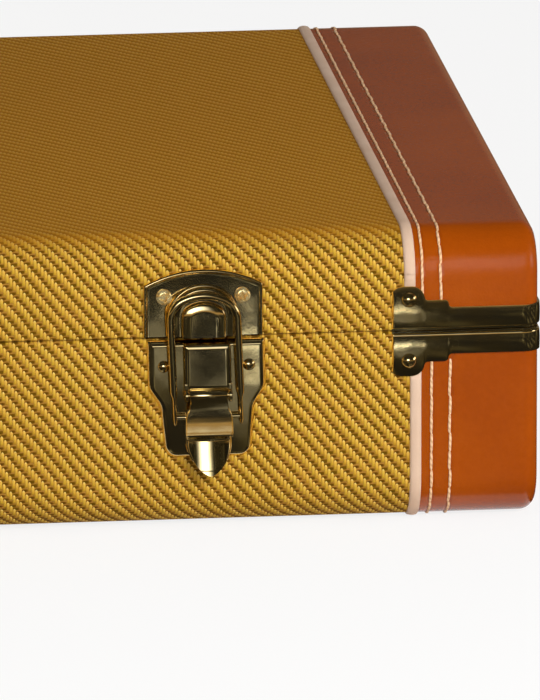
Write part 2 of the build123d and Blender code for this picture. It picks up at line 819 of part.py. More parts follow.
def pocket_outline(x_start, x_neck):
    """The pocket for the guitar's body: two bouts, a waist and shoulders, open to the neck channel."""
    length = x_neck - x_start
    half = [(x_start, 0)] + [(x_start + length * share, width) for share, width in pocket_stations]
    front = Spline(*half, tangents=[(0, 1), (1, -0.4)])
    back = Spline(*[(x, -y) for x, y in half], tangents=[(0, -1), (1, 0.4)])
    return make_face([front, back, Line(half[-1], (half[-1][0], -half[-1][1]))])


def interior():
    """Closure tongue, liners, pads, neck rest and the accessory box with its lid."""
    tongue_low = base_rim_z - tongue_depth
    tongue_outset = binding_inner_inset + tongue_clearance
    keep("closure_tongue", ring(tongue_outset, tongue_thickness, tongue_low, parting_height + tongue_rise))
    liner_in = tongue_outset + tongue_thickness
    keep("base_side_liner", ring(liner_in, liner_thickness, floor_z, base_rim_z - liner_top_drop))
    lid_liner_foot = parting_height + tongue_rise + lid_liner_clearance
    keep("lid_side_liner", ring(0, liner_thickness, lid_liner_foot, ceiling_z))
    inset = liner_in + liner_thickness + pad_clearance
    floor_top = floor_z + floor_pad_thickness
    x_in = (-inner_half_x + inset, inner_half_x - inset)
    y_in = (inner_front_y + inset, inner_back_y - inset)
    keep("floor_pad", slab(x_in, y_in, (floor_z, floor_top)))
    surround = slab((x_in[0], surround_end_x), y_in, (floor_top, floor_top + surround_height))
    middle_y = (y_in[0] + y_in[1]) / 2
    outline = pocket_outline(x_in[0] + pocket_end_margin, surround_end_x)
    pocket = Pos(0, middle_y, floor_top) * extrude(outline, surround_height)
    keep("body_surround_pad", surround - pocket)
    channel_back = middle_y + neck_channel_half_width
    channel_front = middle_y - neck_channel_half_width
    box_x = (surround_end_x + pad_clearance, surround_end_x + pad_clearance + box_length)
    box_y = (channel_back, y_in[1])
    box_z = (floor_top, floor_top + box_height)
    hollow = slab(
        (box_x[0] + box_wall, box_x[1] - box_wall), (box_y[0] + box_wall, box_y[1] - box_wall), box_z
    )
    keep("accessory_box", slab(box_x, box_y, box_z) - hollow)
    rail = slab(box_x, (y_in[0], channel_front), (floor_top, floor_top + rail_height))
    keep("neck_side_pad", rail)
    rest_x = (neck_rest_start, neck_rest_start + neck_rest_length)
    rest_y = (channel_front + pad_clearance, channel_back - pad_clearance)
    keep("neck_rest", slab(rest_x, rest_y, (floor_top, floor_top + neck_rest_height)))
    lid_low = box_z[1] + box_lid_gap
    board = slab(box_x, (box_y[0], box_y[1]), (lid_low, lid_low + box_lid_thickness))
    lip_in = box_wall + box_lip_clearance
    lip = slab(
        (box_x[0] + lip_in, box_x[1] - lip_in),
        (box_y[0] + lip_in, box_y[1] - lip_in),
        (box_z[1] - box_lip_depth, lid_low),
    )
    keep("accessory_lid", board + lip)
    tab_x = (sum(box_x) - pull_tab_width) / 2
    tab_y = box_y[0] + pull_tab_inset
    tab = slab(
        (tab_x, tab_x + pull_tab_width),
        (tab_y, tab_y + pull_tab_length),
        (lid_low + box_lid_thickness, lid_low + box_lid_thickness + pull_tab_thickness),
    )
    keep("accessory_pull_tab", tab)
    pad_in = liner_thickness + pad_clearance
    x_lid = (-inner_half_x + pad_in, inner_half_x - pad_in)
    y_lid = (inner_front_y + pad_in, inner_back_y - pad_in)
    keep("lid_pad", slab(x_lid, y_lid, (ceiling_z - lid_pad_thickness, ceiling_z)))


def drill_covers():
    """Opens the covering for every shank that reaches the boards."""
    for node, fasteners in (
        ("base_tweed_cover", "base_rivets"),
        ("base_leather_ends", "base_rivets"),
        ("base_piping", "base_rivets"),
        ("lid_tweed_cover", "lid_rivets"),
        ("lid_tweed_cover", "latch_catch_screws"),
        ("lid_leather_ends", "lid_rivets"),
        ("lid_piping", "lid_rivets"),
    ):
        cover = made[node]
        for fastener in made[fasteners].solids():
            middle = fastener.center(CenterOf.BOUNDING_BOX)
            drill = rod_y(shank_radius + shank_clearance, middle.X, (middle.Y - 6, middle.Y + 6), middle.Z)
            box = cover.bounding_box()
            if abs(middle.X) < box.max.X + 5:
                cover = cover - drill
        keep(node, cover)


boards()
rim_bindings()
skins()
strips()
latches()
hinges()
handle()
glides()
rivets()
interior()
drill_covers()

os.makedirs("parts", exist_ok=True)
for name, shape in made.items():
    export_step(shape, f"parts/{name}.step")
print("nodes", len(made))
print("latch x", latch_x, "lever axis", front_y - lever_axis_standoff, base_rim_z - lever_axis_drop)
print("bail axis", front_y - bail_axis_standoff, base_rim_z - bail_axis_drop)
print("hinge axis", back_y + hinge_axis_standoff, parting_height)
print("handle axis", front_y - handle_standoff, handle_axis_height)
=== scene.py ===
# %% [markdown]
# # A tweed and leather case for an electric guitar
#
# The case is a plywood box covered in woven tweed, with leather ends, cream piping and gold-plated
# hardware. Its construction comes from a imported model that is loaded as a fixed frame: sizes and places are
# read from it, and this notebook adds the surfaces. Each piece is a surface worked out with numpy, as a
# grid of points or a profile carried along a path, so that its form stays a formula that can be read and
# changed.

# %% Load the frame
import json
import math

import bmesh
import bpy
import numpy as np
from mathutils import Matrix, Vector


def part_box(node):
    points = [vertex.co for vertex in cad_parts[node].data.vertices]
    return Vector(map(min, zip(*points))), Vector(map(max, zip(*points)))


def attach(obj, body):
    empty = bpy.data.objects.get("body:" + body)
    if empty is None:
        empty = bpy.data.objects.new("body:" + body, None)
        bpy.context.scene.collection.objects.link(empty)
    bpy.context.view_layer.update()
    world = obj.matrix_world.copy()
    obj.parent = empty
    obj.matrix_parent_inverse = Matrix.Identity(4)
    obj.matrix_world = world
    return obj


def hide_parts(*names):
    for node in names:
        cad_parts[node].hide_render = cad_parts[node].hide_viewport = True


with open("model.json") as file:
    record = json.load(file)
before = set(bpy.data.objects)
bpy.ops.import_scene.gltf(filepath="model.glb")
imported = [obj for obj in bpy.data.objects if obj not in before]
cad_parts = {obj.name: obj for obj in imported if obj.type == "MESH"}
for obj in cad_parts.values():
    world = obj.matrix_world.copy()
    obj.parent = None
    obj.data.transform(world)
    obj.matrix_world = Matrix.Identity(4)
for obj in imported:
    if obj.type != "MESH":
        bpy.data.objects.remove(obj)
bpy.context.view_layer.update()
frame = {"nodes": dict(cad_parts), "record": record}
nodes = frame["nodes"]
mm = 0.001

# %% [markdown]
# ## Sizes of the shell
#
# The box's long edges are well rounded and those of its ends less so. The large places below are measured
# from the frame's own nodes. What the frame doesn't hold, such as a thread's thickness or the profile of a
# pressed edge, is a value in millimetres that stands in the cell that needs it.

# %% Read the shell's sizes from the frame
lid_low, lid_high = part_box("lid_leather_ends")
base_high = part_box("base_leather_ends")[1]
FRONT, BACK = lid_low.y, lid_high.y
HALF_LENGTH = lid_high.x
TOP = lid_high.z
EDGE = 18.5 * mm
END_EDGE = 6.0 * mm
HALVES = {
    "lid": {"rim": lid_low.z, "up": 1, "height": TOP - lid_low.z, "shift": 1.8 * mm, "first_row": 4.9 * mm},
    "base": {"rim": base_high.z, "up": -1, "height": base_high.z, "shift": 0.2 * mm, "first_row": 6.2 * mm},
}
for name, half in HALVES.items():
    half["piping"] = (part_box(f"{name}_piping")[1].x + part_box(f"{name}_tweed_cover")[1].x) / 2 + half["shift"]
    half["length"] = 2 * (half["height"] - EDGE) + math.pi * EDGE + (BACK - FRONT - 2 * EDGE)
    print(name, {value: round(half[value], 4) for value in ("rim", "piping", "length")})

# %% [markdown]
# ## Walking on the skin
#
# Cloth, piping and stitches all follow the same line round a half of the case: up the front wall, round an
# edge, across the panel and down the back. One function turns a distance along that line into a place, so
# that every piece lies on the same skin. Modelling each stretch by hand would leave gaps where they meet.

# %% Places on the skin of one half
LID_RIM, BASE_RIM = HALVES["lid"]["rim"], HALVES["base"]["rim"]
print("rims at", round(LID_RIM, 4), "and", round(BASE_RIM, 4))


def on_skin(half, along, out):
    """The place in y and z, at a distance along the section line and a height out of the skin.

    The line starts at the front rim. Its angle turns by a quarter at each edge, so the place is the wall
    walked so far, plus EDGE times the sine or 1 - cosine of the turn, plus the panel walked so far."""
    wall = half["height"] - EDGE
    quarter = math.pi / 2 * EDGE
    flat = BACK - FRONT - 2 * EDGE
    first = np.clip((along - wall) / EDGE, 0, math.pi / 2)
    second = np.clip((along - wall - quarter - flat) / EDGE, 0, math.pi / 2)
    across = np.clip(along - wall - quarter, 0, flat)
    down = np.maximum(along - wall - 2 * quarter - flat, 0)
    height = np.minimum(along, wall) + EDGE * np.sin(first) - EDGE * (1 - np.cos(second)) - down
    y = FRONT + EDGE * (1 - np.cos(first)) + across + EDGE * np.sin(second)
    turn = first + second
    y = y - out * np.cos(turn)
    height = height + out * np.sin(turn)
    return y, np.maximum(half["rim"] + half["up"] * height, 0)


def line_samples(half, start, end, wall_step, arc_count=16):
    """Distances along the section line, closer together where it turns."""
    wall = half["height"] - EDGE
    quarter = math.pi / 2 * EDGE
    flat = BACK - FRONT - 2 * EDGE
    marks = [start, wall, wall + quarter, wall + quarter + flat, wall + 2 * quarter + flat, end]
    counts = [max(2, math.ceil((b - a) / wall_step)) for a, b in zip(marks, marks[1:])]
    counts[1] = counts[3] = arc_count
    parts = [np.linspace(a, b, n, endpoint=False) for a, b, n in zip(marks, marks[1:], counts)]
    return np.concatenate(parts + [[end]])


# %% [markdown]
# ## Shapes from arrays
#
# A shape is kept as arrays: its points, its four-cornered faces and the pattern coordinates that a weave or
# a grain follows. Shapes can then be joined, mirrored and moved with plain sums before Blender sees them.
# Points that coincide, such as at a seam or a pole, are merged when the mesh is made.

# %% Grids, outlines and how they are joined


def patch(points, pattern=None):
    """A grid of points (rows, columns, 3) as a shape: each face joins a point to the next row and column."""
    rows, columns = points.shape[:2]
    number = np.arange(rows * columns).reshape(rows, columns)
    corners = [number[:-1, :-1], number[1:, :-1], number[1:, 1:], number[:-1, 1:]]
    quads = np.stack(corners, -1).reshape(-1, 4)
    if pattern is None:
        pattern = np.zeros((rows, columns, 2))
    return {"points": points.reshape(-1, 3), "quads": quads, "rings": [], "pattern": pattern.reshape(-1, 2)}


def joined(shapes):
    """Several shapes as one: the face numbers of each move up by the points before it."""
    shapes = list(shapes)
    starts = np.cumsum([0] + [len(shape["points"]) for shape in shapes])
    return {
        "points": np.concatenate([shape["points"] for shape in shapes]),
        "quads": np.concatenate([shape["quads"] + start for shape, start in zip(shapes, starts)]),
        "rings": [ring + start for shape, start in zip(shapes, starts) for ring in shape["rings"]],
        "pattern": np.concatenate([shape["pattern"] for shape in shapes]),
    }


def moved(shape, offset):
    """The same shape at another place."""
    return {**shape, "points": shape["points"] + np.asarray(offset)}


def mirrored(shape):
    """The shape seen in a mirror across the plane x = 0. Its faces are turned when the piece is made."""
    return {**shape, "points": shape["points"] * [-1, 1, 1]}


def rectangle(low, high):
    """The four corners of a rectangle, against the clock."""
    return [(low[0], low[1]), (high[0], low[1]), (high[0], high[1]), (low[0], high[1])]


def placed(profile, x=0.0):
    """A profile written in millimetres as (along, radius), in metres and moved to its place along X."""
    return [(x + a * mm, r * mm) for a, r in profile]


def rounded_line(corners, radii, step, fine=0.25 * mm):
    """A flat line through corners, each rounded by its radius.

    A straight stretch is divided evenly. Round a corner the place is the arc's centre plus the radius times a
    normal that turns evenly. Gives the places and the headings in radians."""
    corners = np.asarray(corners, float)
    legs = np.diff(corners, axis=0)
    lengths = np.hypot(legs[:, 0], legs[:, 1])
    heading = np.arctan2(legs[:, 1], legs[:, 0])
    turns = (np.diff(heading) + math.pi) % (2 * math.pi) - math.pi
    cuts = np.concatenate([[0], np.asarray(radii) * np.tan(np.abs(turns) / 2), [0]])
    places, headings = [], []
    for index, leg in enumerate(legs):
        direction = leg / lengths[index]
        start = corners[index] + direction * cuts[index]
        end = corners[index + 1] - direction * cuts[index + 1]
        count = max(2, math.ceil(np.linalg.norm(end - start) / step) + 1)
        places.append(start + np.linspace(0, 1, count)[:, None] * (end - start))
        headings.append(np.full(count, heading[index]))
        if index < len(turns) and radii[index] > 0:
            side = np.sign(turns[index])
            centre = end + radii[index] * side * np.array([-direction[1], direction[0]])
            count = max(4, math.ceil(abs(turns[index]) * radii[index] / fine) + 1)
            angle = heading[index] + turns[index] * np.linspace(0, 1, count)[1:-1]
            left = np.stack([-np.sin(angle), np.cos(angle)], -1)
            places.append(centre - radii[index] * side * left)
            headings.append(angle)
    return np.concatenate(places), np.concatenate(headings)


def outline_rings(corners, radii, insets, step=0.8 * mm, fine=0.25 * mm):
    """A closed outline with rounded corners, and its inset copies: one ring of places for each inset.

    The corners go against the clock. Each side moves in by the inset, so a corner moves along the line that
    halves it, and its radius shrinks by the inset, or grows where the corner is hollow. All rings have the
    same number of places, so they can be joined into a grid."""
    corners = np.asarray(corners, float)
    before = corners - np.roll(corners, 1, 0)
    lengths = np.linalg.norm(before, axis=1)
    before = before / lengths[:, None]
    after = np.roll(before, -1, 0)
    heading = np.arctan2(before[:, 1], before[:, 0])
    turn = (np.roll(heading, -1) - heading + math.pi) % (2 * math.pi) - math.pi
    inward = np.stack([-before[:, 1], before[:, 0]], -1)
    halving = (inward + np.roll(inward, -1, 0)) / (1 + np.sum(before * after, 1))[:, None]
    bend_counts = np.maximum(4, np.ceil(np.abs(turn) * radii / fine).astype(int) + 1)
    side_counts = np.maximum(2, np.ceil(np.roll(lengths, -1) / step).astype(int) + 1)
    rings = []
    for inset in insets:
        places = corners + inset * halving
        radius = np.maximum(np.asarray(radii) - inset * np.sign(turn), 0.02 * mm)
        reach = radius * np.tan(np.abs(turn) / 2)
        pieces = []
        for i, place in enumerate(places):
            side = math.copysign(radius[i], turn[i])
            centre = place - before[i] * reach[i] + side * inward[i]
            angle = heading[i] + turn[i] * np.linspace(0, 1, bend_counts[i])
            pieces.append(centre - side * np.stack([-np.sin(angle), np.cos(angle)], -1))
            ahead = (i + 1) % len(places)
            start, end = place + after[i] * reach[i], places[ahead] - after[i] * reach[ahead]
            pieces.append(start + np.linspace(0, 1, side_counts[i])[1:-1, None] * (end - start))
        rings.append(np.concatenate(pieces))
    return np.stack(rings)


def outline_normals(outline):
    """The outward normals of an outline walked against the clock: its headings turned by a quarter."""
    ahead = np.roll(outline, -1, axis=0) - outline
    behind = outline - np.roll(outline, 1, axis=0)
    ahead = ahead / np.linalg.norm(ahead, axis=1)[:, None]
    behind = behind / np.linalg.norm(behind, axis=1)[:, None]
    heading = ahead + behind
    heading = heading / np.linalg.norm(heading, axis=1)[:, None]
    return np.stack([heading[:, 1], -heading[:, 0]], -1)


def inset_rings(outline, insets):
    """Inset copies of a smooth outline: each place moves in along its own normal."""
    return outline[None] - np.asarray(insets)[:, None, None] * outline_normals(outline)[None]


def stamping(rings, outs, face, foot=None):
    """A pressed plate on the front: a grid of rings (x, z), each at its own height out of the face.

    Both the last ring and the first are closed by a flat face. Below the foot, where one is given, the rings
    are cut off level, as a sheared edge is."""
    flat = np.concatenate([rings, rings[:, :1]], axis=1)
    height = flat[..., 1] if foot is None else np.maximum(flat[..., 1], foot)
    out = np.broadcast_to(np.asarray(outs)[:, None], height.shape)
    shape = patch(np.stack([flat[..., 0], face - out, height], -1))
    count = rings.shape[1]
    last = (len(outs) - 1) * (count + 1)
    shape["rings"] = [np.arange(last, last + count), np.arange(count)[::-1]]
    return shape


def steps_of(*pairs):
    """Splits a profile, written in millimetres as (how far in, how far out), into two arrays in metres."""
    return np.array(pairs).T * mm


# %% Make a piece of the scene from a shape


def make_piece(name, shape, finish, body, replaces=(), crease=38):
    """Puts a shape's arrays into a mesh, merges coinciding points, turns faces outwards and lets it ride."""
    mesh = bpy.data.meshes.new(name)
    rings = list(shape["rings"])
    corners = np.concatenate([shape["quads"].ravel()] + rings).astype(np.int32)
    sizes = np.concatenate([np.full(len(shape["quads"]), 4), [len(ring) for ring in rings]]).astype(np.int32)
    mesh.vertices.add(len(shape["points"]))
    mesh.vertices.foreach_set("co", shape["points"].astype(np.float32).ravel())
    mesh.loops.add(len(corners))
    mesh.loops.foreach_set("vertex_index", corners)
    mesh.polygons.add(len(sizes))
    mesh.polygons.foreach_set("loop_start", (np.cumsum(sizes) - sizes).astype(np.int32))
    layer = mesh.uv_layers.new(name="pattern")
    layer.data.foreach_set("uv", shape["pattern"][corners].astype(np.float32).ravel())
    mesh.update(calc_edges=True)
    work = bmesh.new()
    work.from_mesh(mesh)
    bmesh.ops.remove_doubles(work, verts=work.verts, dist=2e-6)
    bmesh.ops.dissolve_degenerate(work, edges=work.edges, dist=1e-7)
    bmesh.ops.recalc_face_normals(work, faces=work.faces)
    work.to_mesh(mesh)
    work.free()
    mesh.shade_smooth()
    mesh.set_sharp_from_angle(angle=math.radians(crease))
    mesh.materials.append(finish)
    piece = bpy.data.objects.new(name, mesh)
    bpy.context.scene.collection.objects.link(piece)
    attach(piece, body)
    if replaces:
        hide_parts(*replaces)
    print(f"{name}: {len(mesh.polygons)} faces on {body}")
    return piece


# %% [markdown]
# ## Finishes as sums
#
# A finish is one material. Its pattern is worked out by nodes, and writing them as Python expressions keeps
# the formula readable: a Signal wraps a socket, and each operator adds the Math node that it stands for.
# Numbers that are the same all over stay on the shader's own sockets.

# %% A finish and the signals in it


class Signal:
    """A shader socket that can be used in a sum. Each operator adds one Math node."""

    def __init__(self, finish, socket):
        self.finish = finish
        self.socket = socket

    def math(self, operation, *values):
        return self.finish.node("ShaderNodeMath", {"operation": operation}, dict(enumerate(values)))

    def __add__(self, other):
        return self.math("ADD", self, other)

    __radd__ = __add__

    def __sub__(self, other):
        return self.math("SUBTRACT", self, other)

    def __rsub__(self, other):
        return self.math("SUBTRACT", other, self)

    def __mul__(self, other):
        return self.math("MULTIPLY", self, other)

    __rmul__ = __mul__

    def __truediv__(self, other):
        return self.math("DIVIDE", self, other)

    def __mod__(self, other):
        return self.math("FLOORED_MODULO", self, other)

    def floor(self):
        return self.math("FLOOR", self)

    def fraction(self):
        return self.math("FRACT", self)

    def power(self, exponent):
        return self.math("POWER", self, exponent)

    def largest(self, other):
        return self.math("MAXIMUM", self, other)

    def smallest(self, other):
        return self.math("MINIMUM", self, other)

    def sine(self):
        return self.math("SINE", self)

    def size(self):
        return self.math("ABSOLUTE", self)

    def between(self, low, high, to_low=0.0, to_high=1.0):
        """Rises smoothly from to_low to to_high while the signal goes from low to high."""
        inputs = {0: self, 1: low, 2: high, 3: to_low, 4: to_high}
        return self.finish.node("ShaderNodeMapRange", {"interpolation_type": "SMOOTHSTEP"}, inputs)


class Finish:
    """A material with its principled shader and a short way to add nodes to it."""

    def __init__(self, name, **constants):
        self.material = bpy.data.materials.new(name)
        self.material.use_nodes = True
        self.tree = self.material.node_tree
        self.shader = self.tree.nodes["Principled BSDF"]
        for socket, value in constants.items():
            self.shader.inputs[socket.replace("_", " ")].default_value = value

    def node(self, kind, settings=None, inputs=None, output=0):
        """Any node: its settings first, then the values or signals of its sockets. Gives its signal."""
        made = self.tree.nodes.new(kind)
        for key, value in (settings or {}).items():
            if key == "stops":
                elements = made.color_ramp.elements
                while len(elements) < len(value):
                    elements.new(1.0)
                for element, (position, colour) in zip(elements, value):
                    element.position = position
                    element.color = colour
            else:
                setattr(made, key, value)
        for key, value in (inputs or {}).items():
            if isinstance(value, Signal):
                self.tree.links.new(value.socket, made.inputs[key])
            else:
                made.inputs[key].default_value = value
        return Signal(self, made.outputs[output])

    def feed(self, socket, signal):
        self.tree.links.new(signal.socket, self.shader.inputs[socket])

    def axes(self, vector):
        """The three parts of a vector."""
        return [self.node("ShaderNodeSeparateXYZ", inputs={0: vector}, output=i) for i in range(3)]

    def place(self):
        """Where a point is on the object, in metres."""
        return self.node("ShaderNodeTexCoord", output=3)

    def pattern(self):
        """The piece's own pattern coordinates, in metres along and across it."""
        return self.node("ShaderNodeUVMap", {"uv_map": "pattern"})

    def vector(self, x, y, z=0.0):
        return self.node("ShaderNodeCombineXYZ", inputs={0: x, 1: y, 2: z})

    def noise(self, at, scale, detail=2.0, roughness=0.5):
        inputs = {"Vector": at, "Scale": scale, "Detail": detail, "Roughness": roughness}
        return self.node("ShaderNodeTexNoise", inputs=inputs)

    def chance(self, at):
        """One random number from 0 to 1 for each cell."""
        return self.node("ShaderNodeTexWhiteNoise", {"noise_dimensions": "3D"}, {"Vector": at})

    def ramp(self, signal, stops):
        return self.node("ShaderNodeValToRGB", {"stops": stops}, {0: signal})

    def mix(self, share, a, b):
        """The colour a where the share is 0, b where it is 1."""
        return self.node("ShaderNodeMix", {"data_type": "RGBA"}, {0: share, 6: a, 7: b}, output=2)

    def raise_by(self, height, distance, normal=None):
        """A bump from a height signal, its full height given in metres."""
        inputs = {"Height": height, "Distance": distance, "Strength": 1.0}
        if normal:
            inputs["Normal"] = normal
        return self.node("ShaderNodeBump", inputs=inputs)


def tint(red, green, blue):
    """A colour written as 0 to 255 on the screen, as the linear values that a shader takes."""
    share = np.array([red, green, blue]) / 255
    linear = np.where(share <= 0.04045, share / 12.92, ((share + 0.055) / 1.055) ** 2.4)
    return (*[float(value) for value in linear], 1.0)


# %% [markdown]
# ## Tweed
#
# The cover is a two-over, two-under twill. Gold threads stand upright and float over two brown ones, and
# each next thread starts its float one row lower, which draws the steep diagonals. The pattern is drawn
# from the surface's own coordinates in metres: the whole part of a coordinate names the thread, its
# fraction says where on the thread a point lies. The same numbers give the height of the threads, so light
# catches each float, and they also paint light and shade into the colour: each gold float is painted paler
# towards its top end and along its middle, and each brown dash darker in its middle. On the lid's top the
# colour is mixed towards one flat, darker brown and the threads are lowered, which lowers the contrast there:
# painted shade, for a top that the light only grazes.

# %% Tweed cover
WARP_PITCH, WEFT_PITCH = 1.26 * mm, 1.62 * mm
WEAVE_LEAN = math.radians(2.4)
TOP_SHADE_FROM, TOP_SHADE_OVER = 34 * mm, 12 * mm


def tweed_finish():
    """Threads from the whole and fractional parts of the pattern coordinates, gold floats over brown ones."""
    cosine, sine = math.cos(WEAVE_LEAN), math.sin(WEAVE_LEAN)
    cloth = Finish("tweed", Roughness=0.62, Specular_IOR_Level=0.05)
    u, v, _ = cloth.axes(cloth.pattern())
    drift = cloth.noise(cloth.pattern(), 55.0, 3.0) - 0.5
    across = (u * cosine + v * sine) * (1 / WARP_PITCH) + drift * 0.9
    upward = (v * cosine - u * sine) * (1 / WEFT_PITCH) + drift * 0.7
    column, row = across.floor(), upward.floor()
    climb = (upward + column) % 4.0
    side = across.fraction() * 2.0 - 1.0
    round_side = 1.0 - side * side
    float_length = round_side * 0.5 + 2.1
    share = climb / float_length
    swell = share * 2.0 - 1.0
    gold_on_top = (1.0 - share).between(0.0, 0.07) * share.between(0.0, 0.2) * round_side.between(0.0, 0.3)
    gold_height = round_side * (1.0 - swell * swell * swell * swell) + 0.35
    height_in_row = upward.fraction() * 2.0 - 1.0
    brown_round = 1.0 - height_in_row * height_in_row
    height = gold_on_top * gold_height + (1.0 - gold_on_top) * brown_round * 0.45
    float_number = cloth.vector(column, ((upward + column) * 0.25).floor())
    dash_number = cloth.vector(row, ((across + row) * 0.25).floor(), 7.0)
    gold_chance, brown_chance = cloth.chance(float_number), cloth.chance(dash_number)
    # Painted highlight and shade: each gold float is painted paler towards its top end and along its middle, and
    # darker at its lower end and at its sides, where it meets the next thread. A small share varies at random
    # per float, as its own tone.
    painted_float_light = share * 0.8 + round_side * 0.16 + gold_chance * 0.1 - 0.04
    stops = [
        (0.05, tint(146, 102, 18)),
        (0.4, tint(190, 146, 46)),
        (0.8, tint(222, 178, 80)),
        (1.0, tint(252, 222, 144)),
    ]
    gold = cloth.ramp(painted_float_light, stops)
    gold = cloth.mix(gold_chance * 0.4, gold, tint(186, 158, 40))
    # Painted shade and highlight: each brown dash is painted darkest in its middle and paler tan towards its
    # ends and the edges of its row. A share of it varies at random per dash, as its own tone.
    along_dash = (across + row) % 4.0 - 3.0
    depth = brown_round * (1.0 - along_dash * along_dash * 0.7) + (brown_chance - 0.5) * 0.3
    brown = cloth.ramp(depth, [(0.1, tint(168, 122, 54)), (0.42, tint(116, 76, 20)), (0.85, tint(66, 38, 4))])
    brown = cloth.mix(brown_chance * 0.4, brown, tint(104, 82, 8))
    colour = cloth.mix(gold_on_top, brown, gold)
    patchy = cloth.noise(cloth.place(), 9.0, 2.0)
    fuzz = cloth.noise(cloth.pattern(), 3400.0, 3.0, 0.7)
    worn = (patchy - 0.5) * 0.3 + fuzz.between(0.42, 0.75) * 0.42 + 0.06
    colour = cloth.mix(worn, colour, tint(120, 80, 14))
    # Painted shade: over the lid's top the colour is mixed towards one flat, darker brown and the threads' bump
    # is lowered, for a top that the light only grazes.
    back_from = HALVES["lid"]["length"] - TOP_SHADE_FROM - TOP_SHADE_OVER
    top_painted_shade = v.between(TOP_SHADE_FROM, TOP_SHADE_FROM + TOP_SHADE_OVER)
    top_painted_shade = top_painted_shade * (1.0 - v.between(back_from, back_from + TOP_SHADE_OVER))
    cloth.feed("Base Color", cloth.mix(top_painted_shade * 0.62, colour, tint(156, 100, 17)))
    cloth.feed("Normal", cloth.raise_by((height + fuzz * 0.3) * (1.0 - top_painted_shade * 0.6), 0.3 * mm))
    cloth.feed("Roughness", 0.8 - gold_on_top * 0.2)
    return cloth.material


TWEED = tweed_finish()
print("tweed: nodes", len(TWEED.node_tree.nodes))

# %% [markdown]
# ## Leather, piping and thread
#
# The ends are smooth, thinly grained leather that is stretched over the corners, so its grain is fine and
# its shine broad. Two rows of stitching pull it down a little along their line. The piping is a cord in
# pale leather, and the thread is twisted, which shows as slanting ribs on each stitch.

# %% Leather for ends and handle
ROW_GAP = 7.3 * mm
STITCH_PITCH = 7.5 * mm


def leather_finish(name, light, dark, with_rows):
    """Fine grain over clouds of two browns; a row pulls the hide down by a parabola times its stitches."""
    hide = Finish(name, Roughness=0.42, Specular_IOR_Level=0.42)
    place = hide.place()
    cloudy = hide.noise(place, 16.0, 3.0, 0.55)
    mottled = hide.noise(place, 420.0, 3.0, 0.6)
    colour = hide.mix((cloudy - 0.32) * 1.3 + (mottled - 0.5) * 0.5, dark, light)
    grain = hide.node("ShaderNodeTexVoronoi", inputs={"Vector": place, "Scale": 1150.0, "Randomness": 1.0})
    creases = hide.noise(place, 900.0, 4.0, 0.6)
    height = grain * 0.6 + creases * 0.5
    bump = hide.raise_by(height, 0.07 * mm)
    if with_rows:
        across, along, _ = hide.axes(hide.pattern())
        for row in (0.0, ROW_GAP):
            away = (across - row) * (1 / (1.5 * mm))
            groove = 1.0 - (away * away).smallest(1.0)
            pull = ((along * (2 * math.pi / STITCH_PITCH)).sine() * 0.35 + 0.65) * groove
            bump = hide.raise_by(1.0 - pull, 0.3 * mm, normal=bump)
            # Painted shade: the colour is darkened towards the dark brown in each row's groove.
            colour = hide.mix(groove * 0.3, colour, dark)
    hide.feed("Base Color", colour)
    hide.feed("Normal", bump)
    hide.feed("Roughness", 0.17 + mottled * 0.1)
    return hide.material


END_LEATHER = leather_finish("end_leather", tint(160, 74, 1), tint(138, 58, 0), True)
HANDLE_LEATHER = leather_finish("handle_leather", tint(172, 76, 20), tint(116, 44, 10), False)
print("leather:", END_LEATHER.name, HANDLE_LEATHER.name)

# %% Piping and thread


def piping_finish():
    """Pale leather: a worn noise mixes two tints and the roughness, a fine one raises it."""
    cord = Finish("cream_piping", Roughness=0.5, Specular_IOR_Level=0.25)
    place = cord.place()
    worn = cord.noise(place, 60.0, 3.0)
    colour = cord.mix((worn - 0.35) * 1.2, tint(200, 173, 152), tint(178, 145, 120))
    cord.feed("Base Color", colour)
    cord.feed("Normal", cord.raise_by(cord.noise(place, 900.0, 3.0), 0.08 * mm))
    cord.feed("Roughness", worn * 0.3 + 0.38)
    return cord.material


def thread_finish():
    """A twisted thread: a sine of the distance along plus the angle round draws slanting ribs."""
    thread = Finish("waxed_thread", Roughness=0.55)
    along, around, _ = thread.axes(thread.pattern())
    twist = ((along * 2600.0 + around * 6.283).sine() * 0.5 + 0.5).power(0.6)
    # Painted shade and highlight: the colour follows the ribs, darker in their grooves and paler on their
    # crests.
    colour = thread.mix(twist, tint(196, 150, 108), tint(226, 188, 148))
    thread.feed("Base Color", colour)
    thread.feed("Normal", thread.raise_by(twist, 0.12 * mm))
    return thread.material


PIPING = piping_finish()
THREAD = thread_finish()
print("piping and thread:", PIPING.name, THREAD.name)

# %% [markdown]
# ## Gold plate
#
# The hardware is pressed steel with a thin, bright gold plate. Its colour is that of the metal itself, so
# it has no layer of paint: what one sees is mostly reflection. Real plating isn't a mirror, so the
# roughness varies in soft clouds and a very low bump bends the reflections a little, as rolled sheet does.

# %% Gold-plated hardware


def gold_finish():
    """One cloud of noise mixes two pale golds and the roughness; the bump adds waves and pits."""
    plate = Finish("gold_plate", Metallic=1.0)
    place = plate.place()
    cloud = plate.noise(place, 70.0, 3.0, 0.6)
    rubbed = plate.noise(place, 900.0, 2.0)
    colour = plate.mix((cloud - 0.4) * 1.4, tint(254, 232, 176), tint(242, 202, 116))
    plate.feed("Base Color", colour)
    plate.feed("Roughness", 0.03 + cloud * 0.08 + rubbed * 0.03)
    pits = plate.noise(place, 2600.0, 2.0, 0.7).between(0.62, 0.8)
    height = plate.noise(place, 90.0, 1.0) + rubbed * 0.05 + pits * 0.03
    plate.feed("Normal", plate.raise_by(height, 0.07 * mm))
    return plate.material


